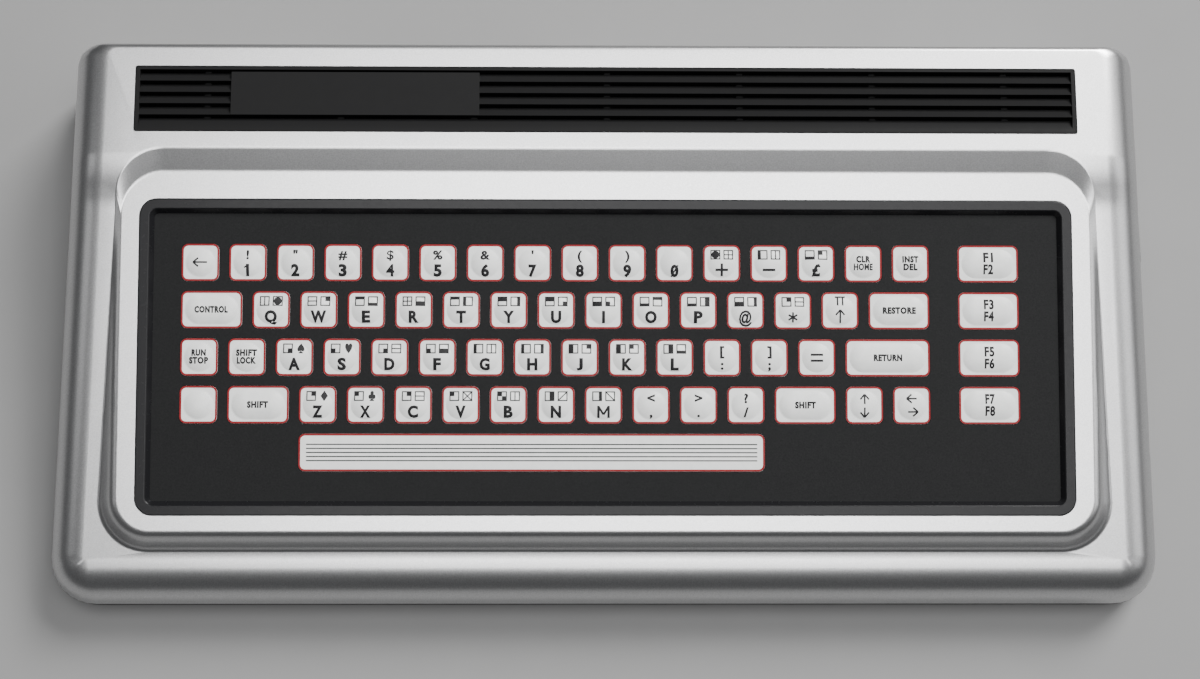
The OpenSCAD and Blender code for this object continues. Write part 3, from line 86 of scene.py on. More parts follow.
# Table top: a plain pale sheet of laminate that everything stands on. It runs
# far past the view on every side.
class Finish:
    """A procedural finish on object coordinates, built up from a principled shader."""
    def __init__(self, name, colour, roughness, metallic=0.0):
        self.material = bpy.data.materials.new(name)
        self.material.use_nodes = True
        self.nodes = self.material.node_tree.nodes
        self.links = self.material.node_tree.links
        self.shader = self.nodes["Principled BSDF"]
        self.shader.inputs["Base Color"].default_value = (*colour, 1.0)
        self.shader.inputs["Roughness"].default_value = roughness
        self.shader.inputs["Metallic"].default_value = metallic
        self.place = self.nodes.new("ShaderNodeTexCoord").outputs["Object"]
        self.height = None

    def noise(self, per_metre, detail=3.0, rough=0.5, stretch=None):
        texture = self.nodes.new("ShaderNodeTexNoise")
        texture.inputs["Scale"].default_value = per_metre
        texture.inputs["Detail"].default_value = detail
        texture.inputs["Roughness"].default_value = rough
        self.links.new(self.stretched(stretch), texture.inputs["Vector"])
        return texture.outputs["Fac"]

    def cells(self, per_metre):
        texture = self.nodes.new("ShaderNodeTexVoronoi")
        texture.inputs["Scale"].default_value = per_metre
        self.links.new(self.place, texture.inputs["Vector"])
        return texture.outputs["Distance"]

    def bricks(self, pitch, joint):
        texture = self.nodes.new("ShaderNodeTexBrick")
        texture.offset = 0.0
        texture.inputs["Scale"].default_value = 1.0
        texture.inputs["Brick Width"].default_value = pitch
        texture.inputs["Row Height"].default_value = pitch
        texture.inputs["Mortar Size"].default_value = joint
        self.links.new(self.place, texture.inputs["Vector"])
        return texture.outputs["Fac"]

    def waves(self, pitch, axis):
        texture = self.nodes.new("ShaderNodeTexWave")
        texture.bands_direction = axis
        texture.inputs["Scale"].default_value = math.pi / (10.0 * pitch)
        self.links.new(self.place, texture.inputs["Vector"])
        return texture.outputs["Fac"]

    def along(self, axis, start, end):
        parts = self.nodes.new("ShaderNodeSeparateXYZ")
        self.links.new(self.place, parts.inputs["Vector"])
        spread = self.nodes.new("ShaderNodeMapRange")
        spread.inputs["From Min"].default_value = start
        spread.inputs["From Max"].default_value = end
        self.links.new(parts.outputs[axis], spread.inputs["Value"])
        return spread.outputs["Result"]

    def step(self, value, limit):
        over = self.nodes.new("ShaderNodeMath")
        over.operation = "GREATER_THAN"
        over.inputs[1].default_value = limit
        self.links.new(value, over.inputs[0])
        return over.outputs["Value"]

    def blend(self, share, low, high):
        mixer = self.nodes.new("ShaderNodeMix")
        for socket, value in zip(("Factor", "A", "B"), (share, low, high)):
            self.links.new(value, mixer.inputs[socket])
        return mixer.outputs["Result"]

    def stretched(self, stretch):
        if stretch is None:
            return self.place
        mapping = self.nodes.new("ShaderNodeMapping")
        mapping.inputs["Scale"].default_value = stretch
        self.links.new(self.place, mapping.inputs["Vector"])
        return mapping.outputs["Vector"]

    def ramp(self, value, stops):
        ramp = self.nodes.new("ShaderNodeValToRGB")
        while len(ramp.color_ramp.elements) < len(stops):
            ramp.color_ramp.elements.new(1.0)
        for element, (at, colour) in zip(ramp.color_ramp.elements, stops):
            element.position = at
            element.color = (*colour, 1.0)
        self.links.new(value, ramp.inputs["Fac"])
        return ramp.outputs["Color"]

    def colour(self, value, stops):
        self.links.new(self.ramp(value, stops), self.shader.inputs["Base Color"])

    def roughness(self, value, low, high):
        spread = self.nodes.new("ShaderNodeMapRange")
        spread.inputs["To Min"].default_value = low
        spread.inputs["To Max"].default_value = high
        self.links.new(value, spread.inputs["Value"])
        self.links.new(spread.outputs["Result"], self.shader.inputs["Roughness"])

    def bump(self, value, depth, strength):
        bump = self.nodes.new("ShaderNodeBump")
        bump.inputs["Distance"].default_value = depth
        bump.inputs["Strength"].default_value = strength
        self.links.new(value, bump.inputs["Height"])
        if self.height is not None:
            self.links.new(self.height, bump.inputs["Normal"])
        self.height = bump.outputs["Normal"]
        self.links.new(self.height, self.shader.inputs["Normal"])

    def set(self, **sockets):
        for name, value in sockets.items():
            self.shader.inputs[name.replace("_", " ")].default_value = value

TABLE_HALF = 6.0
table_finish = Finish("table_laminate", (0.21, 0.21, 0.21), 0.75)
table_finish.roughness(table_finish.noise(60.0), 0.7, 0.8)
table_mesh = bpy.data.meshes.new("table_top")
table_shape = bmesh.new()
bmesh.ops.create_grid(table_shape, x_segments=1, y_segments=1, size=TABLE_HALF)
table_shape.to_mesh(table_mesh)
table = bpy.data.objects.new("table_top", table_mesh)
table_mesh.materials.append(table_finish.material)
bpy.context.collection.objects.link(table)

# Upper shell: injection-moulded plastic, sprayed with a fine-grained metallic
# silver paint. A merged copy of the moulding gets soft edges.
def add_piece(name, shape, body, finish):
    mesh = bpy.data.meshes.new(name)
    shape.to_mesh(mesh)
    shape.free()
    mesh.materials.append(finish.material)
    piece = bpy.data.objects.new(name, mesh)
    bpy.context.collection.objects.link(piece)
    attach(piece, body)
    return piece

MERGE_REACH = 2e-6
FLAT_WITHIN = math.radians(0.4)

def moulded(node, body, finish, edge=0.0002, sharp=35.0, segments=2):
    """A merged copy of a node with its edges rounded, which stands for the node."""
    shape = bmesh.new()
    shape.from_mesh(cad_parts[node].data)
    bmesh.ops.remove_doubles(shape, verts=shape.verts, dist=MERGE_REACH)
    bmesh.ops.dissolve_limit(shape, angle_limit=FLAT_WITHIN, verts=shape.verts, edges=shape.edges)
    for face in shape.faces:
        face.smooth = True
    for seam in shape.edges:
        seam.smooth = not (len(seam.link_faces) == 2 and seam.calc_face_angle(0.0) > math.radians(sharp))
    piece = add_piece(node + "_moulding", shape, body, finish)
    if edge:
        rounding = piece.modifiers.new("rounded_edges", "BEVEL")
        rounding.width = edge
        rounding.segments = segments
        rounding.limit_method = "ANGLE"
        rounding.angle_limit = math.radians(sharp)
    even = piece.modifiers.new("even_shading", "WEIGHTED_NORMAL")
    even.keep_sharp = True
    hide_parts(node)
    return piece

silver_paint = Finish("silver_paint", (0.60, 0.60, 0.605), 0.36, 1.0)
silver_paint.colour(silver_paint.noise(2400.0, 2.0),
                    [(0.3, (0.53, 0.53, 0.535)), (0.7, (0.67, 0.67, 0.675))])
silver_paint.roughness(silver_paint.noise(1800.0, 2.0), 0.29, 0.35)
silver_paint.bump(silver_paint.noise(2400.0, 2.0), 0.000012, 0.6)
moulded("top_case", "case", silver_paint, edge=0.0003, sharp=38.0)

# Lower shell: dark charcoal plastic with a fine spark-eroded texture, screwed
# up into the silver shell from below.
base_plastic = Finish("base_plastic", (0.035, 0.034, 0.034), 0.6)
base_plastic.colour(base_plastic.noise(900.0, 4.0),
                    [(0.35, (0.028, 0.027, 0.027)), (0.7, (0.045, 0.043, 0.042))])
base_plastic.roughness(base_plastic.noise(400.0), 0.5, 0.68)
base_plastic.bump(base_plastic.noise(2600.0, 3.0), 0.00004, 0.7)
moulded("bottom_case", "case", base_plastic, edge=0.0003)

# Louvre insert: one black satin moulding with slanted fins and a plain badge
# plate, dropped in from below and held by its flange.
louvre_plastic = Finish("louvre_plastic", (0.0095, 0.0095, 0.0098), 0.55)
louvre_plastic.set(Specular_IOR_Level=0.08)
louvre_plastic.roughness(louvre_plastic.noise(300.0), 0.5, 0.62)
louvre_plastic.bump(louvre_plastic.noise(3000.0, 2.0), 0.00002, 0.5)
moulded("louvre_insert", "case", louvre_plastic, edge=0.00015)

# Painted shade: a thin stiff sheet of black fibre, just under the louvre, stands in
# for the shade between the fins, so that nothing on the circuit board shows there.
PLATE_THICK = 0.0003
PLATE_SLOPE = math.tan(math.radians(2.0))
PLATE_MARGINS = (0.002, 0.0015)
GLUE_LINE = 0.0002
# Near-black fibre for the sheet; its darkness paints the shade between the louvre's fins.
painted_shade_fibre = Finish("painted_shade_fibre", (0.004, 0.004, 0.0042), 0.9)
painted_shade_fibre.set(Specular_IOR_Level=0.05)
painted_shade_fibre.bump(painted_shade_fibre.noise(2500.0, 2.0, stretch=(1.0, 4.0, 1.0)), 0.00003, 0.6)
low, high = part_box("louvre_insert")
plate_w, plate_d = (high[i] - low[i] - 2 * PLATE_MARGINS[i] for i in (0, 1))
shade_sheet = bmesh.new()
bmesh.ops.create_grid(shade_sheet, x_segments=12, y_segments=2, size=0.5)
for vert in shade_sheet.verts:
    u, v = vert.co.x, vert.co.y
    height = low.z + (v + 0.5) * plate_d * PLATE_SLOPE - GLUE_LINE
    vert.co = (u * plate_w, (low.y + high.y) / 2 + v * plate_d, height)
bmesh.ops.recalc_face_normals(shade_sheet, faces=shade_sheet.faces)
bmesh.ops.solidify(shade_sheet, geom=shade_sheet.faces, thickness=PLATE_THICK)
add_piece("louvre_painted_shade", shade_sheet, "case", painted_shade_fibre)

# Bezel: a polished black frame that is let into the silver case and holds the
# printed panel down along its sloping inner lip.
bezel_plastic = Finish("bezel_plastic", (0.009, 0.009, 0.010), 0.22)
bezel_plastic.roughness(bezel_plastic.noise(700.0, 4.0), 0.16, 0.34)
bezel_plastic.bump(bezel_plastic.noise(1500.0, 3.0), 0.00001, 0.5)
bezel_plastic.set(Specular_IOR_Level=0.16)
moulded("keyboard_bezel", "case", bezel_plastic, edge=0.00025, sharp=20.0, segments=3)

# Printed panel: a charcoal film with a fine grain over a stiff sheet. Each key
# shows through its own window.
panel_film = Finish("panel_film", (0.012, 0.0125, 0.013), 0.6)
panel_film.colour(panel_film.noise(1900.0, 5.0, 0.7),
                  [(0.3, (0.008, 0.0083, 0.0087)), (0.72, (0.015, 0.0153, 0.0157))])
panel_film.roughness(panel_film.noise(150.0), 0.55, 0.66)
panel_film.set(Specular_IOR_Level=0.08)
panel_film.bump(panel_film.noise(2600.0, 3.0), 0.00003, 0.6)
moulded("keyboard_overlay", "case", panel_film, edge=0.0)

# Keys: off-white printed film over shallow domes. Each is a plate with a thin
# red outline and dark legends that are printed on the dome's curve.
MM = 0.001
KEY_PITCH = 0.015
KEY_PLATE = 0.01175
KEY_GAP = KEY_PITCH - KEY_PLATE
KEY_CORNER = 0.002
FIRST_COLUMN = 0.12858
FIRST_ROW = 0.02433
KEY_TOP = -0.0014
DOME_WIDTH = 0.0093
DOME_HEIGHT = 0.0009
WIDEST_DOMED_KEY = 5
OUTLINE_STROKE = 0.00058
INK_THICK = 0.00006
INK_LIFT = 0.00004
# Print is laid out flat, with x along the rows and v up the slope, then tilted.
keyboard_tilt = Matrix.Translation(KEYBOARD_ORIGIN) @ Matrix.Rotation(KEYBOARD_SLOPE, 4, "X")
key_film = Finish("key_film", (0.71, 0.72, 0.71), 0.42)
key_film.colour(key_film.noise(500.0, 3.0), [(0.35, (0.69, 0.70, 0.69)), (0.7, (0.74, 0.745, 0.735))])
key_film.roughness(key_film.noise(220.0), 0.36, 0.48)
key_film.bump(key_film.noise(2600.0, 2.0), 0.000015, 0.5)
red_ink = Finish("red_ink", (0.21, 0.007, 0.010), 0.5)
red_ink.colour(red_ink.noise(900.0), [(0.3, (0.18, 0.005, 0.008)), (0.75, (0.24, 0.010, 0.012))])
red_ink.set(Specular_IOR_Level=0.2)
black_ink = Finish("black_ink", (0.010, 0.010, 0.012), 0.6)
black_ink.colour(black_ink.noise(1500.0), [(0.3, (0.007, 0.007, 0.008)), (0.75, (0.015, 0.015, 0.016))])
black_ink.set(Specular_IOR_Level=0.2)

def dome_rise(x, v, units):
    """Height of a key's dome above its plate; a wide key's dome is stretched."""
    ball = (DOME_WIDTH ** 2 / 4 + DOME_HEIGHT ** 2) / (2 * DOME_HEIGHT)
    reach = (units * KEY_PITCH - KEY_GAP - KEY_PLATE) / 2
    away = math.hypot(max(abs(x) - reach, 0.0), v)
    if units > WIDEST_DOMED_KEY or away >= DOME_WIDTH / 2:
        return 0.0
    return math.sqrt(ball ** 2 - away ** 2) - (ball - DOME_HEIGHT)

def rounded_sheet(shape, x, v, wide, deep, radius):
    corners = bmesh.ops.create_grid(shape, x_segments=1, y_segments=1, size=0.5)["verts"]
    bmesh.ops.transform(shape, verts=corners,
                        matrix=Matrix.Translation((x, v, 0)) @ Matrix.Diagonal((wide, deep, 1, 1)))
    if radius:
        corners = bmesh.ops.bevel(shape, geom=corners, offset=radius, segments=5, profile=0.5,
                                  affect="VERTICES", material=-1)["verts"]
    return corners[0].link_faces[0]

def keep_rim(shape, sheet, stroke):
    """Cuts away a flat face except for a rim along its edge."""
    bmesh.ops.inset_region(shape, faces=[sheet], thickness=stroke, use_boundary=True, use_even_offset=True)
    bmesh.ops.delete(shape, geom=[sheet], context="FACES_ONLY")

def outline(shape, x, v, wide, deep, radius, stroke):
    keep_rim(shape, rounded_sheet(shape, x, v, wide, deep, radius), stroke)

def disc(shape, x, v, height, radius, steps):
    corners = bmesh.ops.create_circle(shape, cap_ends=True, radius=radius, segments=steps)["verts"]
    bmesh.ops.translate(shape, verts=corners, vec=(x, v, height))
    return corners[0].link_faces[0]

# Strokes that cross lie in layers, each a micrometre up.
LAYER = 0.000001
CROSSING = 4

def bar(shape, x0, v0, x1, v1, width, layer=0):
    verts = bmesh.ops.create_grid(shape, x_segments=1, y_segments=1, size=0.5)["verts"]
    turn = Matrix.Rotation(math.atan2(v1 - v0, x1 - x0), 4, "Z")
    size = Matrix.Diagonal((math.hypot(x1 - x0, v1 - v0), width, 1, 1))
    middle = Matrix.Translation(((x0 + x1) / 2, (v0 + v1) / 2, layer * LAYER))
    bmesh.ops.transform(shape, verts=verts, matrix=middle @ turn @ size)

ARROW_STROKE = 0.00052
ARROW_HEAD = 0.0016
HEAD_SPREAD = 0.85

def arrow(shape, x, v, dx, dv, length):
    tip_x, tip_v = x + dx * length / 2, v + dv * length / 2
    bar(shape, x - dx * length / 2, v - dv * length / 2, tip_x, tip_v, ARROW_STROKE)
    for side in (-HEAD_SPREAD, HEAD_SPREAD):
        bar(shape, tip_x, tip_v, tip_x - ARROW_HEAD * (dx + side * dv), tip_v - ARROW_HEAD * (dv - side * dx),
            ARROW_STROKE, CROSSING)

# Height of the typeface's capitals, and how far bold letters move apart.
FONT_CAP = 0.67
BOLD_SPACING = 2.5
USUAL_STRETCH = 1.1

def lettering(shape, words, x, v, cap, bold=0.0, width=None):
    """Prints words whose capitals are cap high, centred on x and v and stretched to a width."""
    curve = bpy.data.curves.new("lettering", "FONT")
    curve.body = words
    curve.offset = bold
    curve.space_character = 1.0 + BOLD_SPACING * bold
    curve.resolution_u = 3
    holder = bpy.data.objects.new("lettering", curve)
    sheet = bpy.data.meshes.new_from_object(holder)
    bpy.data.objects.remove(holder)
    bpy.data.curves.remove(curve)
    sides = [vert.co.x for vert in sheet.vertices]
    left, span = min(sides), max(sides) - min(sides)
    foot = min(vert.co.y for vert in sheet.vertices) if words == "J" else -bold
    scale = cap / (FONT_CAP + bold - foot)
    across = width / span if width else scale * USUAL_STRETCH
    sheet.transform(Matrix.Translation((x - (left + span / 2) * across, v - cap / 2 - foot * scale, 0))
                    @ Matrix.Diagonal((across, scale, 1, 1)))
    shape.from_mesh(sheet)
    bpy.data.meshes.remove(sheet)

# Block-graphic signs: a thin square with bands (tblr), halves (TBLR), quarters
# (1234), lines or a disc (o) in it. Some keys carry a card suit instead.
SIGN_SIZE = 0.0031
SIGN_STROKE = 0.00034
BAND_AWAY = 0.66
BAND_WIDTH = 0.62
DISC_SHARE = 0.8
DISC_STEPS = 20
SUIT_HEIGHT, SUIT_WIDTH = 0.0021, 0.0022
SUITS = {"S": "♠", "H": "♥", "D": "♦", "C": "♣"}
SIDES = {"t": (0, 1), "b": (0, -1), "l": (-1, 0), "r": (1, 0)}
QUARTERS = {"1": (-1, 1), "2": (1, 1), "3": (-1, -1), "4": (1, -1)}
LEVEL, UPRIGHT = (-1, 0, 1, 0), (0, -1, 0, 1)
LINES = {"-": [LEVEL], "|": [UPRIGHT], "=": [LEVEL, UPRIGHT], "/": [(-1, -1, 1, 1)], "\\": [(-1, 1, 1, -1)]}

def sign(shape, x, v, inside):
    """Prints a card suit, or a square with each mark that inside names."""
    if inside in SUITS:
        lettering(shape, SUITS[inside], x, v, SUIT_HEIGHT, width=SUIT_WIDTH)
        return
    half = SIGN_SIZE / 2
    outline(shape, x, v, SIGN_SIZE, SIGN_SIZE, 0.0, SIGN_STROKE)
    for mark in inside:
        if mark.lower() in SIDES:
            dx, dv = SIDES[mark.lower()]
            away, wide = (half / 2, half) if mark.isupper() else (half * BAND_AWAY, half * BAND_WIDTH)
            mid_x, mid_v = x + dx * away, v + dv * away
            bar(shape, mid_x - dv * half, mid_v - dx * half, mid_x + dv * half, mid_v + dx * half,
                wide, CROSSING)
        elif mark in LINES:
            for number, (x0, v0, x1, v1) in enumerate(LINES[mark]):
                layer = CROSSING + 2 * number + 2 * (mark == "\\")
                bar(shape, x + x0 * half, v + v0 * half, x + x1 * half, v + v1 * half, SIGN_STROKE, layer)
        elif mark in QUARTERS:
            dx, dv = QUARTERS[mark]
            rounded_sheet(shape, x + dx * half / 2, v + dv * half / 2, half, half, 0.0)
        elif mark == "o":
            disc(shape, x, v, CROSSING * LAYER, half * DISC_SHARE, DISC_STEPS)

# What each key carries. A digit has a mark above it and a letter two signs.
DIGITS = {"1": "!", "2": "\"", "3": "#", "4": "$", "5": "%", "6": "&", "7": "'", "8": "(", "9": ")", "0": ""}
SIGNS = {"+": ("o", "="), "-": ("l", "|"), "£": ("b", "1"), "Q": ("|", "o"), "W": ("-", "2"), "E": ("t", "b"),
         "R": ("=", "B"), "T": ("t", "l"), "Y": ("T", "r"), "U": ("T", "4"), "I": ("B", "3"), "O": ("b", "t"),
         "P": ("b", "R"), "@": ("B", "r"), "*": ("2", "-"), "A": ("4", "S"), "S": ("3", "H"), "D": ("4", "-"),
         "F": ("3", "B"), "G": ("l", "|"), "H": ("l", "r"), "J": ("L", "2"), "K": ("L", "1"), "L": ("R", "b"),
         "Z": ("2", "D"), "X": ("1", "C"), "C": ("2", "-"), "V": ("1", "/\\"), "B": ("14", "|"),
         "N": ("R", "/"), "M": ("r", "\\")}

# Strokes of the characters that are drawn, not set: both ends, width (mm) and
# layer. Arrows: middle, direction and length (mm). The rest is lettering.
STROKES = {
    "0": [(-1.1, -4.3, 1.1, -0.7, 0.45, 4)], "1": [(-1.05, -1.7, -0.1, -0.9, 0.45, 4)],
    "+": [(-2.0, -2.1, 2.0, -2.1, 0.75, 0), (0.0, -4.1, 0.0, -0.1, 0.75, 4)],
    "-": [(-2.0, -2.1, 2.0, -2.1, 0.75, 0)],
    "=": [(-1.95, -0.95, 1.95, -0.95, 0.7, 0), (-1.95, 0.95, 1.95, 0.95, 0.7, 0)],
    "*": [(-1.3856, -3.0, 1.3856, -1.4, 0.55, 1.5), (0.0, -3.8, 0.0, -0.6, 0.55, 4.5),
          (1.3856, -3.0, -1.3856, -1.4, 0.55, 7.5)],
    "M": [(-1.6, -4.1, -1.6, -0.3, 0.78, 0), (1.6, -4.1, 1.6, -0.3, 0.78, 0),
          (-1.6, -0.5, 0.0, -3.05, 0.66, 3), (1.6, -0.5, 0.0, -3.05, 0.66, 7)],
    "pi": [(-1.6, 4.3, 1.6, 4.3, 0.5, 0), (-0.8, 1.6, -0.8, 4.1, 0.5, 4), (0.8, 1.6, 0.8, 4.1, 0.5, 4)],
    "space": [(-71.0, 2.56 - 1.28 * line, 71.0, 2.56 - 1.28 * line, 0.36, 0) for line in range(5)]}
ARROWS = {
    "left": [(0.0, 0.0, -1, 0, 4.4)], "pi": [(0.0, -1.9, 0, 1, 4.2)],
    "updown": [(0.0, 1.9, 0, 1, 3.1), (0.0, -2.3, 0, -1, 3.1)],
    "leftright": [(-0.1, 2.1, -1, 0, 3.2), (0.3, -2.1, 1, 0, 3.2)]}

# Where things are printed on a key, from its middle.
SIGN_ROW, LETTER_ROW, MARK_ROW, DIGIT_ROW = 0.00275, -0.0022, 0.0024, -0.0025
SIGN_PLACES = (-0.0020, 0.0021)
PAIR_ROWS, FUNCTION_ROWS, WORD_ROWS = (0.0021, -0.0023), (0.0020, -0.0018), (0.00135, -0.0011)

# Weights: heavy letters would close the small gaps in some characters. Widths
# are shares of the height, and the letters not listed take LETTER_WIDTH.
HEAVY, LIGHT, NARROW_GAPS = 0.05, 0.03, "4@"
MARK_WEIGHT, DOLLAR_WEIGHT, PAIR_WEIGHTS = 0.034, 0.016, (0.034, 0.036)
FUNCTION_WEIGHT, WORD_WEIGHT, WEIGHT_WITH_M = 0.04, 0.06, 0.042
LETTER_CAP, MARK_CAP, PAIR_CAP, FUNCTION_CAP, WORD_CAP = 0.0038, 0.0029, 0.0030, 0.0031, 0.0021
LETTER_WIDTH, DIGIT_WIDTH = 0.86, 0.68
WIDTHS = {"A": 0.95, "B": 0.76, "E": 0.7, "F": 0.65, "I": 0.25, "J": 0.52, "L": 0.68, "O": 0.98,
          "P": 0.74, "Q": 1.02, "R": 0.82, "S": 0.72, "T": 0.82, "W": 1.3, "Y": 0.92, "@": 1.1,
          "1": 0.25, "£": 0.74}
WORD_PITCH = 0.0015
SAVED_BY_I = 0.6

def print_character(shape, x, v, character, usual_width):
    weight = LIGHT if character in NARROW_GAPS else HEAVY
    width = WIDTHS.get(character, usual_width) * LETTER_CAP
    lettering(shape, character, x, v, LETTER_CAP, bold=weight, width=width)

def print_words(shape, x, v, words):
    for word, row in zip(words, WORD_ROWS if len(words) == 2 else (0.0,)):
        weight = WEIGHT_WITH_M if "M" in word else WORD_WEIGHT
        width = WORD_PITCH * (len(word) - SAVED_BY_I * word.count("I"))
        lettering(shape, word, x, v + row, WORD_CAP, bold=weight, width=width)

def print_legend(shape, x, v, legend):
    """Prints a key's strokes, arrows and signs, then its character or its words."""
    for x0, v0, x1, v1, wide, layer in STROKES.get(legend, ()):
        bar(shape, x + x0 * MM, v + v0 * MM, x + x1 * MM, v + v1 * MM, wide * MM, layer)
    for mid_x, mid_v, dx, dv, length in ARROWS.get(legend, ()):
        arrow(shape, x + mid_x * MM, v + mid_v * MM, dx, dv, length * MM)
    for place, inside in zip(SIGN_PLACES, SIGNS.get(legend, ())):
        sign(shape, x + place, v + SIGN_ROW, inside)
    if legend in DIGITS:
        print_character(shape, x, v + DIGIT_ROW, legend, DIGIT_WIDTH)
        if DIGITS[legend]:
            weight = DOLLAR_WEIGHT if DIGITS[legend] == "$" else MARK_WEIGHT
            lettering(shape, DIGITS[legend], x, v + MARK_ROW, MARK_CAP, bold=weight)
    elif legend in STROKES or legend in ARROWS:
        return
    elif legend in SIGNS:
        print_character(shape, x, v + LETTER_ROW, legend, LETTER_WIDTH)
    elif legend[1:] in tuple(":;,./"):
        for character, row, weight in zip(legend, PAIR_ROWS, PAIR_WEIGHTS):
            lettering(shape, character, x, v + row, PAIR_CAP, bold=weight)
    elif legend.startswith("F"):
        for word, row in zip(legend.split(), FUNCTION_ROWS):
            lettering(shape, word, x, v + row, FUNCTION_CAP, bold=FUNCTION_WEIGHT, width=FUNCTION_CAP)
    else:
        print_words(shape, x, v, legend.split())

# Keys that move together: for each, its row, the column of its middle, its
# width in key pitches, and its legend.
KEY_GROUPS = {
    "keys_row1_left": [(1, i, 1, k) for i, k in enumerate(["left", "1", "2", "3", "4", "5", "6"])],
    "keys_row1_right": [(1, 7 + i, 1, k) for i, k in enumerate("7890+-£")],
    "keys_row2_left": [(2, 1.5 + i, 1, k) for i, k in enumerate("QWERTYU")],
    "keys_row2_right": [(2, 8.5 + i, 1, k) for i, k in enumerate(["I", "O", "P", "@", "*", "pi"])],
    "keys_row3_left": [(3, 2 + i, 1, k) for i, k in enumerate("ASDFGH")],
    "keys_row3_right": [(3, 8 + i, 1, k) for i, k in enumerate(["J", "K", "L", "[:", "];", "="])],
    "keys_row4_left": [(4, 2.5 + i, 1, k) for i, k in enumerate("ZXCVB")],
    "keys_row4_right": [(4, 7.5 + i, 1, k) for i, k in enumerate(["N", "M", "<,", ">.", "?/"])],
    "key_clr_home": [(1, 14, 1, "CLR HOME")], "key_inst_del": [(1, 15, 1, "INST DEL")],
    "key_control": [(2, 0.25, 1.5, "CONTROL")], "key_restore": [(2, 14.75, 1.5, "RESTORE")],
    "key_run_stop": [(3, 0, 1, "RUN STOP")], "key_shift_lock": [(3, 1, 1, "SHIFT LOCK")],
    "key_return": [(3, 14.5, 2, "RETURN")], "key_plain": [(4, 0, 1, "")],
    "key_shift_left": [(4, 1.25, 1.5, "SHIFT")], "key_shift_right": [(4, 12.75, 1.5, "SHIFT")],
    "key_cursor_updown": [(4, 14, 1, "updown")], "key_cursor_leftright": [(4, 15, 1, "leftright")],
    "key_f1_f2": [(1, 16.65, 1.5, "F1 F2")], "key_f3_f4": [(2, 16.65, 1.5, "F3 F4")],
    "key_f5_f6": [(3, 16.65, 1.5, "F5 F6")], "key_f7_f8": [(4, 16.65, 1.5, "F7 F8")],
    "key_space": [(5, 7, 10, "space")]}
LONGEST_EDGE = 0.0009

def settle_print(shape, rise=None):
    """Lays the print on the plates, or splits its long edges and lays it on the domes."""
    bmesh.ops.triangulate(shape, faces=shape.faces)
    for _ in range(3 if rise else 0):
        long_edges = [edge for edge in shape.edges if edge.calc_length() > LONGEST_EDGE]
        if long_edges:
            bmesh.ops.subdivide_edges(shape, edges=long_edges, cuts=1)
            bmesh.ops.triangulate(shape, faces=shape.faces)
    for vert in shape.verts:
        vert.co.z += KEY_TOP + INK_LIFT + (rise(vert.co.x, vert.co.y) if rise else 0.0)
    bmesh.ops.solidify(shape, geom=shape.faces, thickness=INK_THICK)
    bmesh.ops.transform(shape, verts=shape.verts, matrix=keyboard_tilt)

for node, cells in KEY_GROUPS.items():
    moulded(node, node, key_film, edge=0.00025, sharp=15.0, segments=3)
    places = [(column * KEY_PITCH - FIRST_COLUMN, FIRST_ROW - (row - 1) * KEY_PITCH, units, legend)
              for row, column, units, legend in cells]
    rings = bmesh.new()
    for x, v, units, legend in places:
        outline(rings, x, v, units * KEY_PITCH - KEY_GAP, KEY_PLATE, KEY_CORNER, OUTLINE_STROKE)
    settle_print(rings)
    add_piece(node + "_outline", rings, node, red_ink)
    if any(legend for _, _, _, legend in places):
        legends = bmesh.new()
        for x, v, units, legend in places:
            print_legend(legends, x, v, legend)
        def rise(px, pv):
            x, v, units, _ = min(places, key=lambda place: abs(px - place[0]))
            return dome_rise(px - x, pv - v, units)
        settle_print(legends, rise)
        add_piece(node + "_legend", legends, node, black_ink)

# Key layers: a grey spacer sheet with a window under each key, an amber film
# with printed silver tracks, and the film's tail that plugs into the board.
def painted(finish, *nodes):
    for node in nodes:
        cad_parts[node].material_slots[0].material = finish.material

spacer_sheet = Finish("spacer_sheet", (0.19, 0.19, 0.18), 0.6)
spacer_sheet.colour(spacer_sheet.noise(260.0), [(0.35, (0.17, 0.17, 0.16)), (0.7, (0.21, 0.21, 0.2))])
spacer_sheet.bump(spacer_sheet.noise(1800.0), 0.00003, 0.5)
painted(spacer_sheet, "key_spacer")

TRACK_WIDTH = 0.0009
amber_film = Finish("amber_film", (0.45, 0.25, 0.06), 0.3)
tracks = amber_film.bricks(KEY_PITCH, TRACK_WIDTH)
amber_film.colour(tracks, [(0.4, (0.42, 0.23, 0.05)), (0.6, (0.5, 0.5, 0.48))])
amber_film.roughness(amber_film.noise(200.0), 0.24, 0.38)
painted(amber_film, "contact_layer", "keyboard_tail")

# Back plate: zinc-plated sheet steel, punched and screwed up under the case. It
# clamps the key layers against the bezel.
zinc_plate = Finish("zinc_plate", (0.52, 0.52, 0.51), 0.36, 1.0)
zinc_plate.colour(zinc_plate.cells(420.0), [(0.1, (0.44, 0.45, 0.45)), (0.8, (0.58, 0.58, 0.57))])
zinc_plate.roughness(zinc_plate.noise(90.0, 5.0, 0.6, (1.0, 14.0, 1.0)), 0.28, 0.46)
painted(zinc_plate, "keyboard_backplate")

# Tail connector: a moulded housing of ivory nylon that is soldered to the board.
# Its spring contacts grip the end of the amber film.
ivory_nylon = Finish("ivory_nylon", (0.66, 0.6, 0.46), 0.45)
ivory_nylon.colour(ivory_nylon.noise(180.0), [(0.3, (0.62, 0.56, 0.42)), (0.7, (0.7, 0.64, 0.5))])
ivory_nylon.bump(ivory_nylon.noise(1500.0), 0.00002, 0.5)
moulded("tail_connector", "case", ivory_nylon, edge=0.0003)

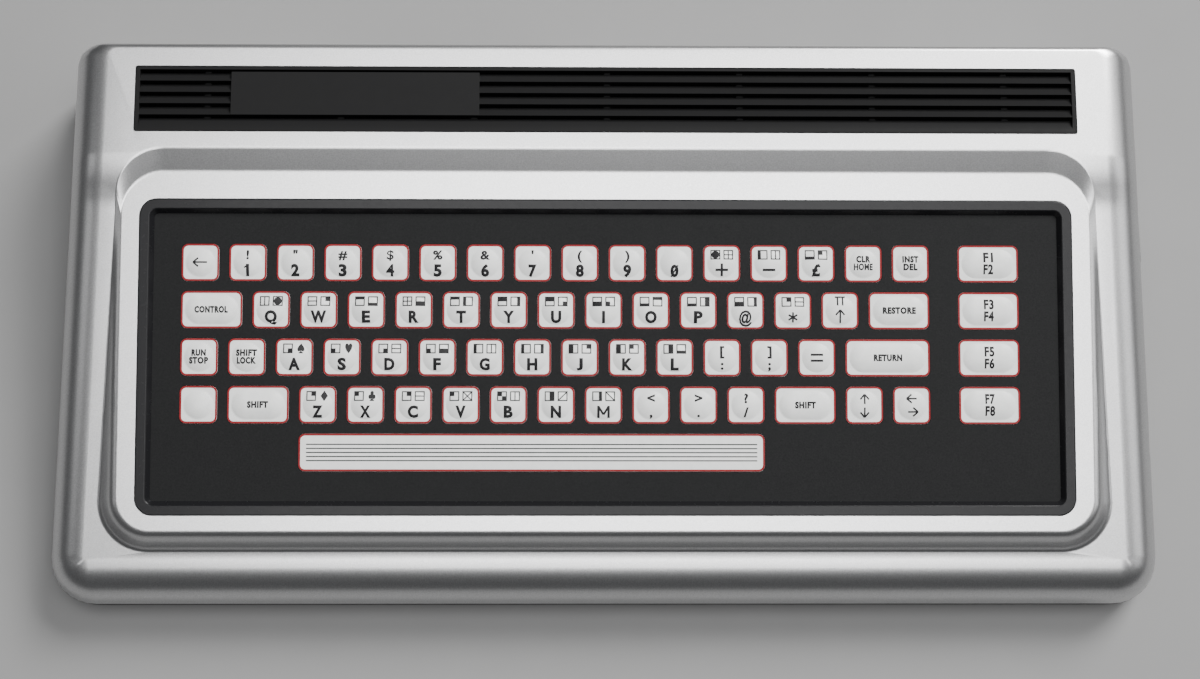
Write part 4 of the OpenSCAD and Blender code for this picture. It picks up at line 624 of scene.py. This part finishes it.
# Main board: glass-fibre sheet under green solder mask. Copper tracks show as
# faint raised lines that run along the board in one layer, across it in another.
TRACK_PITCH = 0.00254
solder_mask = Finish("solder_mask", (0.02, 0.12, 0.045), 0.3)
along = solder_mask.waves(TRACK_PITCH, "Y")
across = solder_mask.waves(TRACK_PITCH, "X")
zones = solder_mask.noise(26.0, 0.0)
shares = [solder_mask.step(value, limit) for value, limit in ((zones, 0.52), (along, 0.72), (across, 0.72))]
copper = solder_mask.blend(*shares)
solder_mask.colour(copper, [(0.3, (0.014, 0.095, 0.035)), (0.7, (0.035, 0.19, 0.07))])
solder_mask.roughness(solder_mask.noise(300.0), 0.24, 0.36)
solder_mask.bump(copper, 0.00004, 0.6)
moulded("main_board", "case", solder_mask, edge=0.0001)

# Cassette contacts: copper fingers etched on a tongue of the board, thinly gold
# plated and brushed clean along their length.
gold_flash = Finish("gold_flash", (0.78, 0.56, 0.24), 0.28, 1.0)
gold_flash.colour(gold_flash.noise(500.0), [(0.3, (0.72, 0.5, 0.2)), (0.7, (0.84, 0.62, 0.3))])
gold_flash.roughness(gold_flash.noise(900.0, 4.0, 0.6, (1.0, 0.1, 1.0)), 0.2, 0.4)
painted(gold_flash, "cassette_contacts")

# Chips: black epoxy or grey ceramic bodies with a notch at one end and bent,
# tinned pins. The four large ones stand in sockets; the others are soldered in.
epoxy = Finish("epoxy", (0.02, 0.02, 0.022), 0.5)
epoxy.colour(epoxy.noise(700.0), [(0.35, (0.016, 0.016, 0.018)), (0.7, (0.03, 0.03, 0.032))])
epoxy.bump(epoxy.noise(3200.0, 3.0), 0.00003, 0.7)
ceramic = Finish("ceramic", (0.34, 0.32, 0.29), 0.55)
ceramic.colour(ceramic.noise(420.0), [(0.3, (0.31, 0.29, 0.26)), (0.7, (0.38, 0.36, 0.33))])
ceramic.bump(ceramic.noise(2600.0, 3.0), 0.00002, 0.6)
tinned = Finish("tinned", (0.66, 0.66, 0.65), 0.3, 1.0)
tinned.colour(tinned.noise(600.0), [(0.3, (0.58, 0.58, 0.57)), (0.7, (0.72, 0.72, 0.71))])
tinned.roughness(tinned.noise(240.0, 4.0), 0.22, 0.42)

def second_finish(piece, finish, chosen):
    """Faces whose centre is chosen take a second finish."""
    piece.data.materials.append(finish.material)
    for face in piece.data.polygons:
        if chosen(face.center):
            face.material_index = 1

BIG_BODY, SMALL_BODY = 0.0137, 0.0066
PIN_GAP = 0.00005

def chip_with_pins(node, finish, body_width):
    low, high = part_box(node)
    row = (low.y + high.y) / 2
    chip = moulded(node, "case", finish, edge=0.00015)
    second_finish(chip, tinned, lambda at: abs(at.y - row) > body_width / 2 + PIN_GAP)

for node in ("processor_chip", "io_chip", "sound_chip"):
    chip_with_pins(node, epoxy, BIG_BODY)
chip_with_pins("video_chip", ceramic, BIG_BODY)
chip_with_pins("memory_and_logic_chips", epoxy, SMALL_BODY)

# Chip sockets: black nylon frames with a satin surface. They are soldered to the
# board and hold the four large chips by their pins.
socket_nylon = Finish("socket_nylon", (0.03, 0.03, 0.033), 0.4)
socket_nylon.roughness(socket_nylon.noise(350.0), 0.34, 0.5)
socket_nylon.bump(socket_nylon.noise(1900.0), 0.00002, 0.6)
moulded("chip_sockets", "case", socket_nylon, edge=0.0002)

# Power parts and small components: a regulator on its black fins, a crystal in
# its can, capacitors in blue sleeves and resistors with coloured bands.
black_anodised = Finish("black_anodised", (0.05, 0.05, 0.055), 0.4, 0.7)
black_anodised.roughness(black_anodised.noise(200.0, 4.0, 0.5, (20.0, 1.0, 1.0)), 0.3, 0.5)
black_anodised.bump(black_anodised.noise(900.0, 2.0, 0.5, (8.0, 8.0, 0.4)), 0.00003, 0.5)
moulded("heat_sink", "case", black_anodised, edge=0.0002)
TAB_THICK = 0.0014
REGULATOR_FOOT = 0.0155
sink_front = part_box("heat_sink")[0].y
regulator = moulded("voltage_regulator", "case", epoxy, edge=0.0002)
second_finish(regulator, tinned, lambda at: at.y > sink_front - TAB_THICK or at.z < REGULATOR_FOOT)
moulded("crystal", "case", tinned, edge=0.0003)
blue_sleeve = Finish("blue_sleeve", (0.02, 0.06, 0.22), 0.28)
blue_sleeve.colour(blue_sleeve.noise(140.0), [(0.35, (0.016, 0.05, 0.19)), (0.7, (0.03, 0.08, 0.27))])
blue_sleeve.roughness(blue_sleeve.noise(500.0), 0.2, 0.36)
sleeves = moulded("capacitors", "case", blue_sleeve, edge=0.0004, segments=3)
BOARD_TOP = 0.0116
LID_HEIGHTS = (0.008, 0.011, 0.016)
LID_WITHIN = 0.0002
second_finish(sleeves, tinned,
              lambda at: any(abs(at.z - BOARD_TOP - tall) < LID_WITHIN for tall in LID_HEIGHTS))
RESISTOR_HALF = 0.0032
BAND_SHARE = 0.07
TAN_BODY = (0.5, 0.35, 0.19)
BROWN, BLACK, RED, GOLD = (0.22, 0.09, 0.03), (0.01, 0.01, 0.012), (0.45, 0.03, 0.02), (0.6, 0.4, 0.1)
band_stops = [(0.0, TAN_BODY)]
for start, paint in ((0.26, BROWN), (0.42, BLACK), (0.58, RED), (0.76, GOLD)):
    band_stops += [(start, paint), (start + BAND_SHARE, TAN_BODY)]
band_paint = Finish("band_paint", (0.5, 0.36, 0.2), 0.35)
low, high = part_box("resistors")
resistor_middle = (low.y + high.y) / 2
banded = band_paint.along("Y", resistor_middle - RESISTOR_HALF, resistor_middle + RESISTOR_HALF)
band_paint.colour(banded, band_stops)
band_paint.roughness(band_paint.noise(600.0), 0.28, 0.42)
resistors = moulded("resistors", "case", band_paint, edge=0.0003)
WIRE_REACH, WIRE_HEIGHT = RESISTOR_HALF + 0.00001, BOARD_TOP + 0.0001
second_finish(resistors, tinned,
              lambda at: abs(at.y - resistor_middle) > WIRE_REACH or at.z < WIRE_HEIGHT)

# Aerial output: a soldered can of tinned steel that holds the modulator, with
# a nickel-plated jack on its rear face. An ivory ring insulates the contact.
moulded("rf_modulator", "case", tinned, edge=0.0003)
nickel = Finish("nickel", (0.68, 0.66, 0.61), 0.2, 1.0)
nickel.colour(nickel.noise(300.0), [(0.3, (0.62, 0.6, 0.55)), (0.7, (0.72, 0.7, 0.66))])
nickel.roughness(nickel.noise(700.0, 3.0, 0.5, (1.0, 9.0, 1.0)), 0.14, 0.3)
moulded("tv_jack", "case", nickel, edge=0.0004, segments=3)
jack_low, jack_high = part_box("tv_jack")
jack_axis = Matrix.Translation(((jack_low.x + jack_high.x) / 2, jack_high.y, (jack_low.z + jack_high.z) / 2))

def turned(shape, profile):
    """Spins a closed profile of radius and height about the Z axis."""
    ring = [shape.verts.new((radius, 0.0, height)) for radius, height in profile]
    edges = [shape.edges.new((ring[i], ring[(i + 1) % len(ring)])) for i in range(len(ring))]
    bmesh.ops.spin(shape, geom=ring + edges, cent=(0, 0, 0), axis=(0, 0, 1), angle=math.tau, steps=48,
                   use_merge=True)
    bmesh.ops.remove_doubles(shape, verts=shape.verts, dist=1e-6)
    bmesh.ops.recalc_face_normals(shape, faces=shape.faces)

INSULATOR_PROFILE = [(0.00172, -0.001), (0.0031, -0.001), (0.0031, 0.00012), (0.0029, 0.0002),
                     (0.00185, 0.0002), (0.00172, 0.0001)]
insulator = bmesh.new()
turned(insulator, INSULATOR_PROFILE)
bmesh.ops.transform(insulator, verts=insulator.verts,
                    matrix=jack_axis @ Matrix.Rotation(math.radians(-90), 4, "X"))
add_piece("tv_jack_insulator", insulator, "case", ivory_nylon)

# Channel switch: a small slide switch in a tinned frame. Its black slider sticks
# out through a slot in the rear wall.
moulded("channel_switch", "case", tinned, edge=0.0002)
slider_plastic = Finish("slider_plastic", (0.02, 0.02, 0.02), 0.35)
slider_plastic.roughness(slider_plastic.noise(600.0), 0.28, 0.44)
slider_plastic.bump(slider_plastic.waves(0.0006, "X"), 0.00012, 0.6)
moulded("channel_slider", "channel_slider", slider_plastic, edge=0.0002)

# Cartridge connector: a black moulding with a deep mouth. Two rows of sprung
# gold contacts stand in its card slot.
moulded("cartridge_connector", "case", socket_nylon, edge=0.0003)
CONTACTS_PER_ROW = 21
CONTACT_PITCH = 0.00254
CONTACT_SIZE = (0.0009, 0.0078, 0.00022)
CONTACT_FROM_END = 0.0064
CONTACT_LEAN = math.radians(2.0)
ROW_AWAY = 0.00088
CARD_FROM_TOP = 0.0092
low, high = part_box("cartridge_connector")
slot_middle = Vector(((low.x + high.x) / 2, low.y + CONTACT_FROM_END, high.z - CARD_FROM_TOP))
contacts = bmesh.new()
for column in range(CONTACTS_PER_ROW):
    for side in (-1, 1):
        strip = bmesh.ops.create_cube(contacts, size=1.0)["verts"]
        along_row = (column - CONTACTS_PER_ROW // 2) * CONTACT_PITCH
        place = Matrix.Translation(slot_middle + Vector((along_row, 0.0, side * ROW_AWAY)))
        shape_of_strip = Matrix.Rotation(-side * CONTACT_LEAN, 4, "X") @ Matrix.Diagonal((*CONTACT_SIZE, 1.0))
        bmesh.ops.transform(contacts, verts=strip, matrix=place @ shape_of_strip)
add_piece("cartridge_contacts", contacts, "case", gold_flash)

# Control ports: nine pins in a D-shaped steel shell on a flange, with a black
# block behind. The shells stand in openings of the right-hand wall.
SHELL_FROM_FLANGE = 0.0080
FLANGE_HALF = 0.0154
PORT_HEIGHT = 0.0195
BLOCK_FROM_FLANGE = 0.001
BLOCK_THICK = 0.0009
D_HALF = [(0.0057, -0.0036), (0.0066, -0.0026), (0.0078, 0.0024), (0.0069, 0.0036)]
D_OUTLINE = D_HALF + [(-y, z) for y, z in reversed(D_HALF)]
port_shell = moulded("control_ports", "case", tinned, edge=0.0002)
low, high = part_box("control_ports")
flange_x = high.x - SHELL_FROM_FLANGE
second_finish(port_shell, socket_nylon, lambda at: at.x < flange_x)
for name, port_y in (("rear", high.y - FLANGE_HALF), ("front", low.y + FLANGE_HALF)):
    block = bmesh.new()
    face = block.faces.new([block.verts.new((flange_x + BLOCK_FROM_FLANGE, port_y + y, PORT_HEIGHT + z))
                            for y, z in D_OUTLINE])
    raised = bmesh.ops.extrude_face_region(block, geom=[face])["geom"]
    lifted = [element for element in raised if isinstance(element, bmesh.types.BMVert)]
    bmesh.ops.translate(block, verts=lifted, vec=(BLOCK_THICK, 0, 0))
    bmesh.ops.recalc_face_normals(block, faces=block.faces)
    add_piece("control_port_" + name + "_insulator", block, "case", socket_nylon)

# Power switch and power socket: lightly polished black mouldings. The rocker
# tips on two pins and carries a plain bar and ring in white paint.
switch_plastic = Finish("switch_plastic", (0.016, 0.016, 0.017), 0.26)
switch_plastic.roughness(switch_plastic.noise(400.0), 0.2, 0.34)
switch_plastic.bump(switch_plastic.noise(1200.0), 0.00001, 0.5)
moulded("power_switch", "case", switch_plastic, edge=0.0004, segments=3)
moulded("power_rocker", "power_rocker", switch_plastic, edge=0.0004, segments=3)
moulded("power_socket", "case", switch_plastic, edge=0.0003)
white_paint = Finish("white_paint", (0.75, 0.75, 0.73), 0.5)
white_paint.roughness(white_paint.noise(800.0), 0.42, 0.58)
MARK_AWAY = 0.0044
BAR_HALF = 0.0012
MARK_STROKE = 0.0005
RING_RADIUS = 0.0014
RING_STEPS = 24
PAINT_THICK = 0.00006
marks = bmesh.new()
bar(marks, -BAR_HALF, MARK_AWAY, BAR_HALF, MARK_AWAY, MARK_STROKE)
ring_sheet = disc(marks, 0.0, -MARK_AWAY, 0.0, RING_RADIUS, RING_STEPS)
keep_rim(marks, ring_sheet, MARK_STROKE * math.cos(math.pi / RING_STEPS))
rocker_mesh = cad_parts["power_rocker"].data
rocker_skin = BVHTree.FromPolygons([vert.co for vert in rocker_mesh.vertices],
                                   [face.vertices for face in rocker_mesh.polygons])
low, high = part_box("power_rocker")
rocker_y, rocker_z = (low.y + high.y) / 2, (low.z + high.z) / 2
for vert in marks.verts:
    y, z = rocker_y + vert.co.y, rocker_z + vert.co.x
    surface, _, _, _ = rocker_skin.ray_cast(Vector((high.x + 0.01, y, z)), Vector((-1.0, 0.0, 0.0)))
    vert.co = (surface.x + PAINT_THICK, y, z)
bmesh.ops.recalc_face_normals(marks, faces=marks.faces)
bmesh.ops.solidify(marks, geom=marks.faces, thickness=PAINT_THICK)
add_piece("power_rocker_marks", marks, "power_rocker", white_paint)

# Screws: zinc-plated, with a cross recess. Feet: moulded black rubber, pressed
# into pockets of the lower shell.
screw_zinc = Finish("screw_zinc", (0.55, 0.55, 0.54), 0.3, 1.0)
screw_zinc.colour(screw_zinc.noise(900.0), [(0.3, (0.48, 0.48, 0.47)), (0.7, (0.6, 0.6, 0.58))])
screw_zinc.roughness(screw_zinc.noise(1500.0, 4.0), 0.22, 0.42)
moulded("case_screws", "case", screw_zinc, edge=0.0003)
painted(screw_zinc, "small_screws")
foot_rubber = Finish("foot_rubber", (0.018, 0.018, 0.018), 0.75)
foot_rubber.colour(foot_rubber.noise(500.0), [(0.3, (0.014, 0.014, 0.014)), (0.75, (0.03, 0.029, 0.028))])
foot_rubber.bump(foot_rubber.noise(1600.0, 4.0), 0.00006, 0.7)
moulded("rubber_feet", "case", foot_rubber, edge=0.0003)
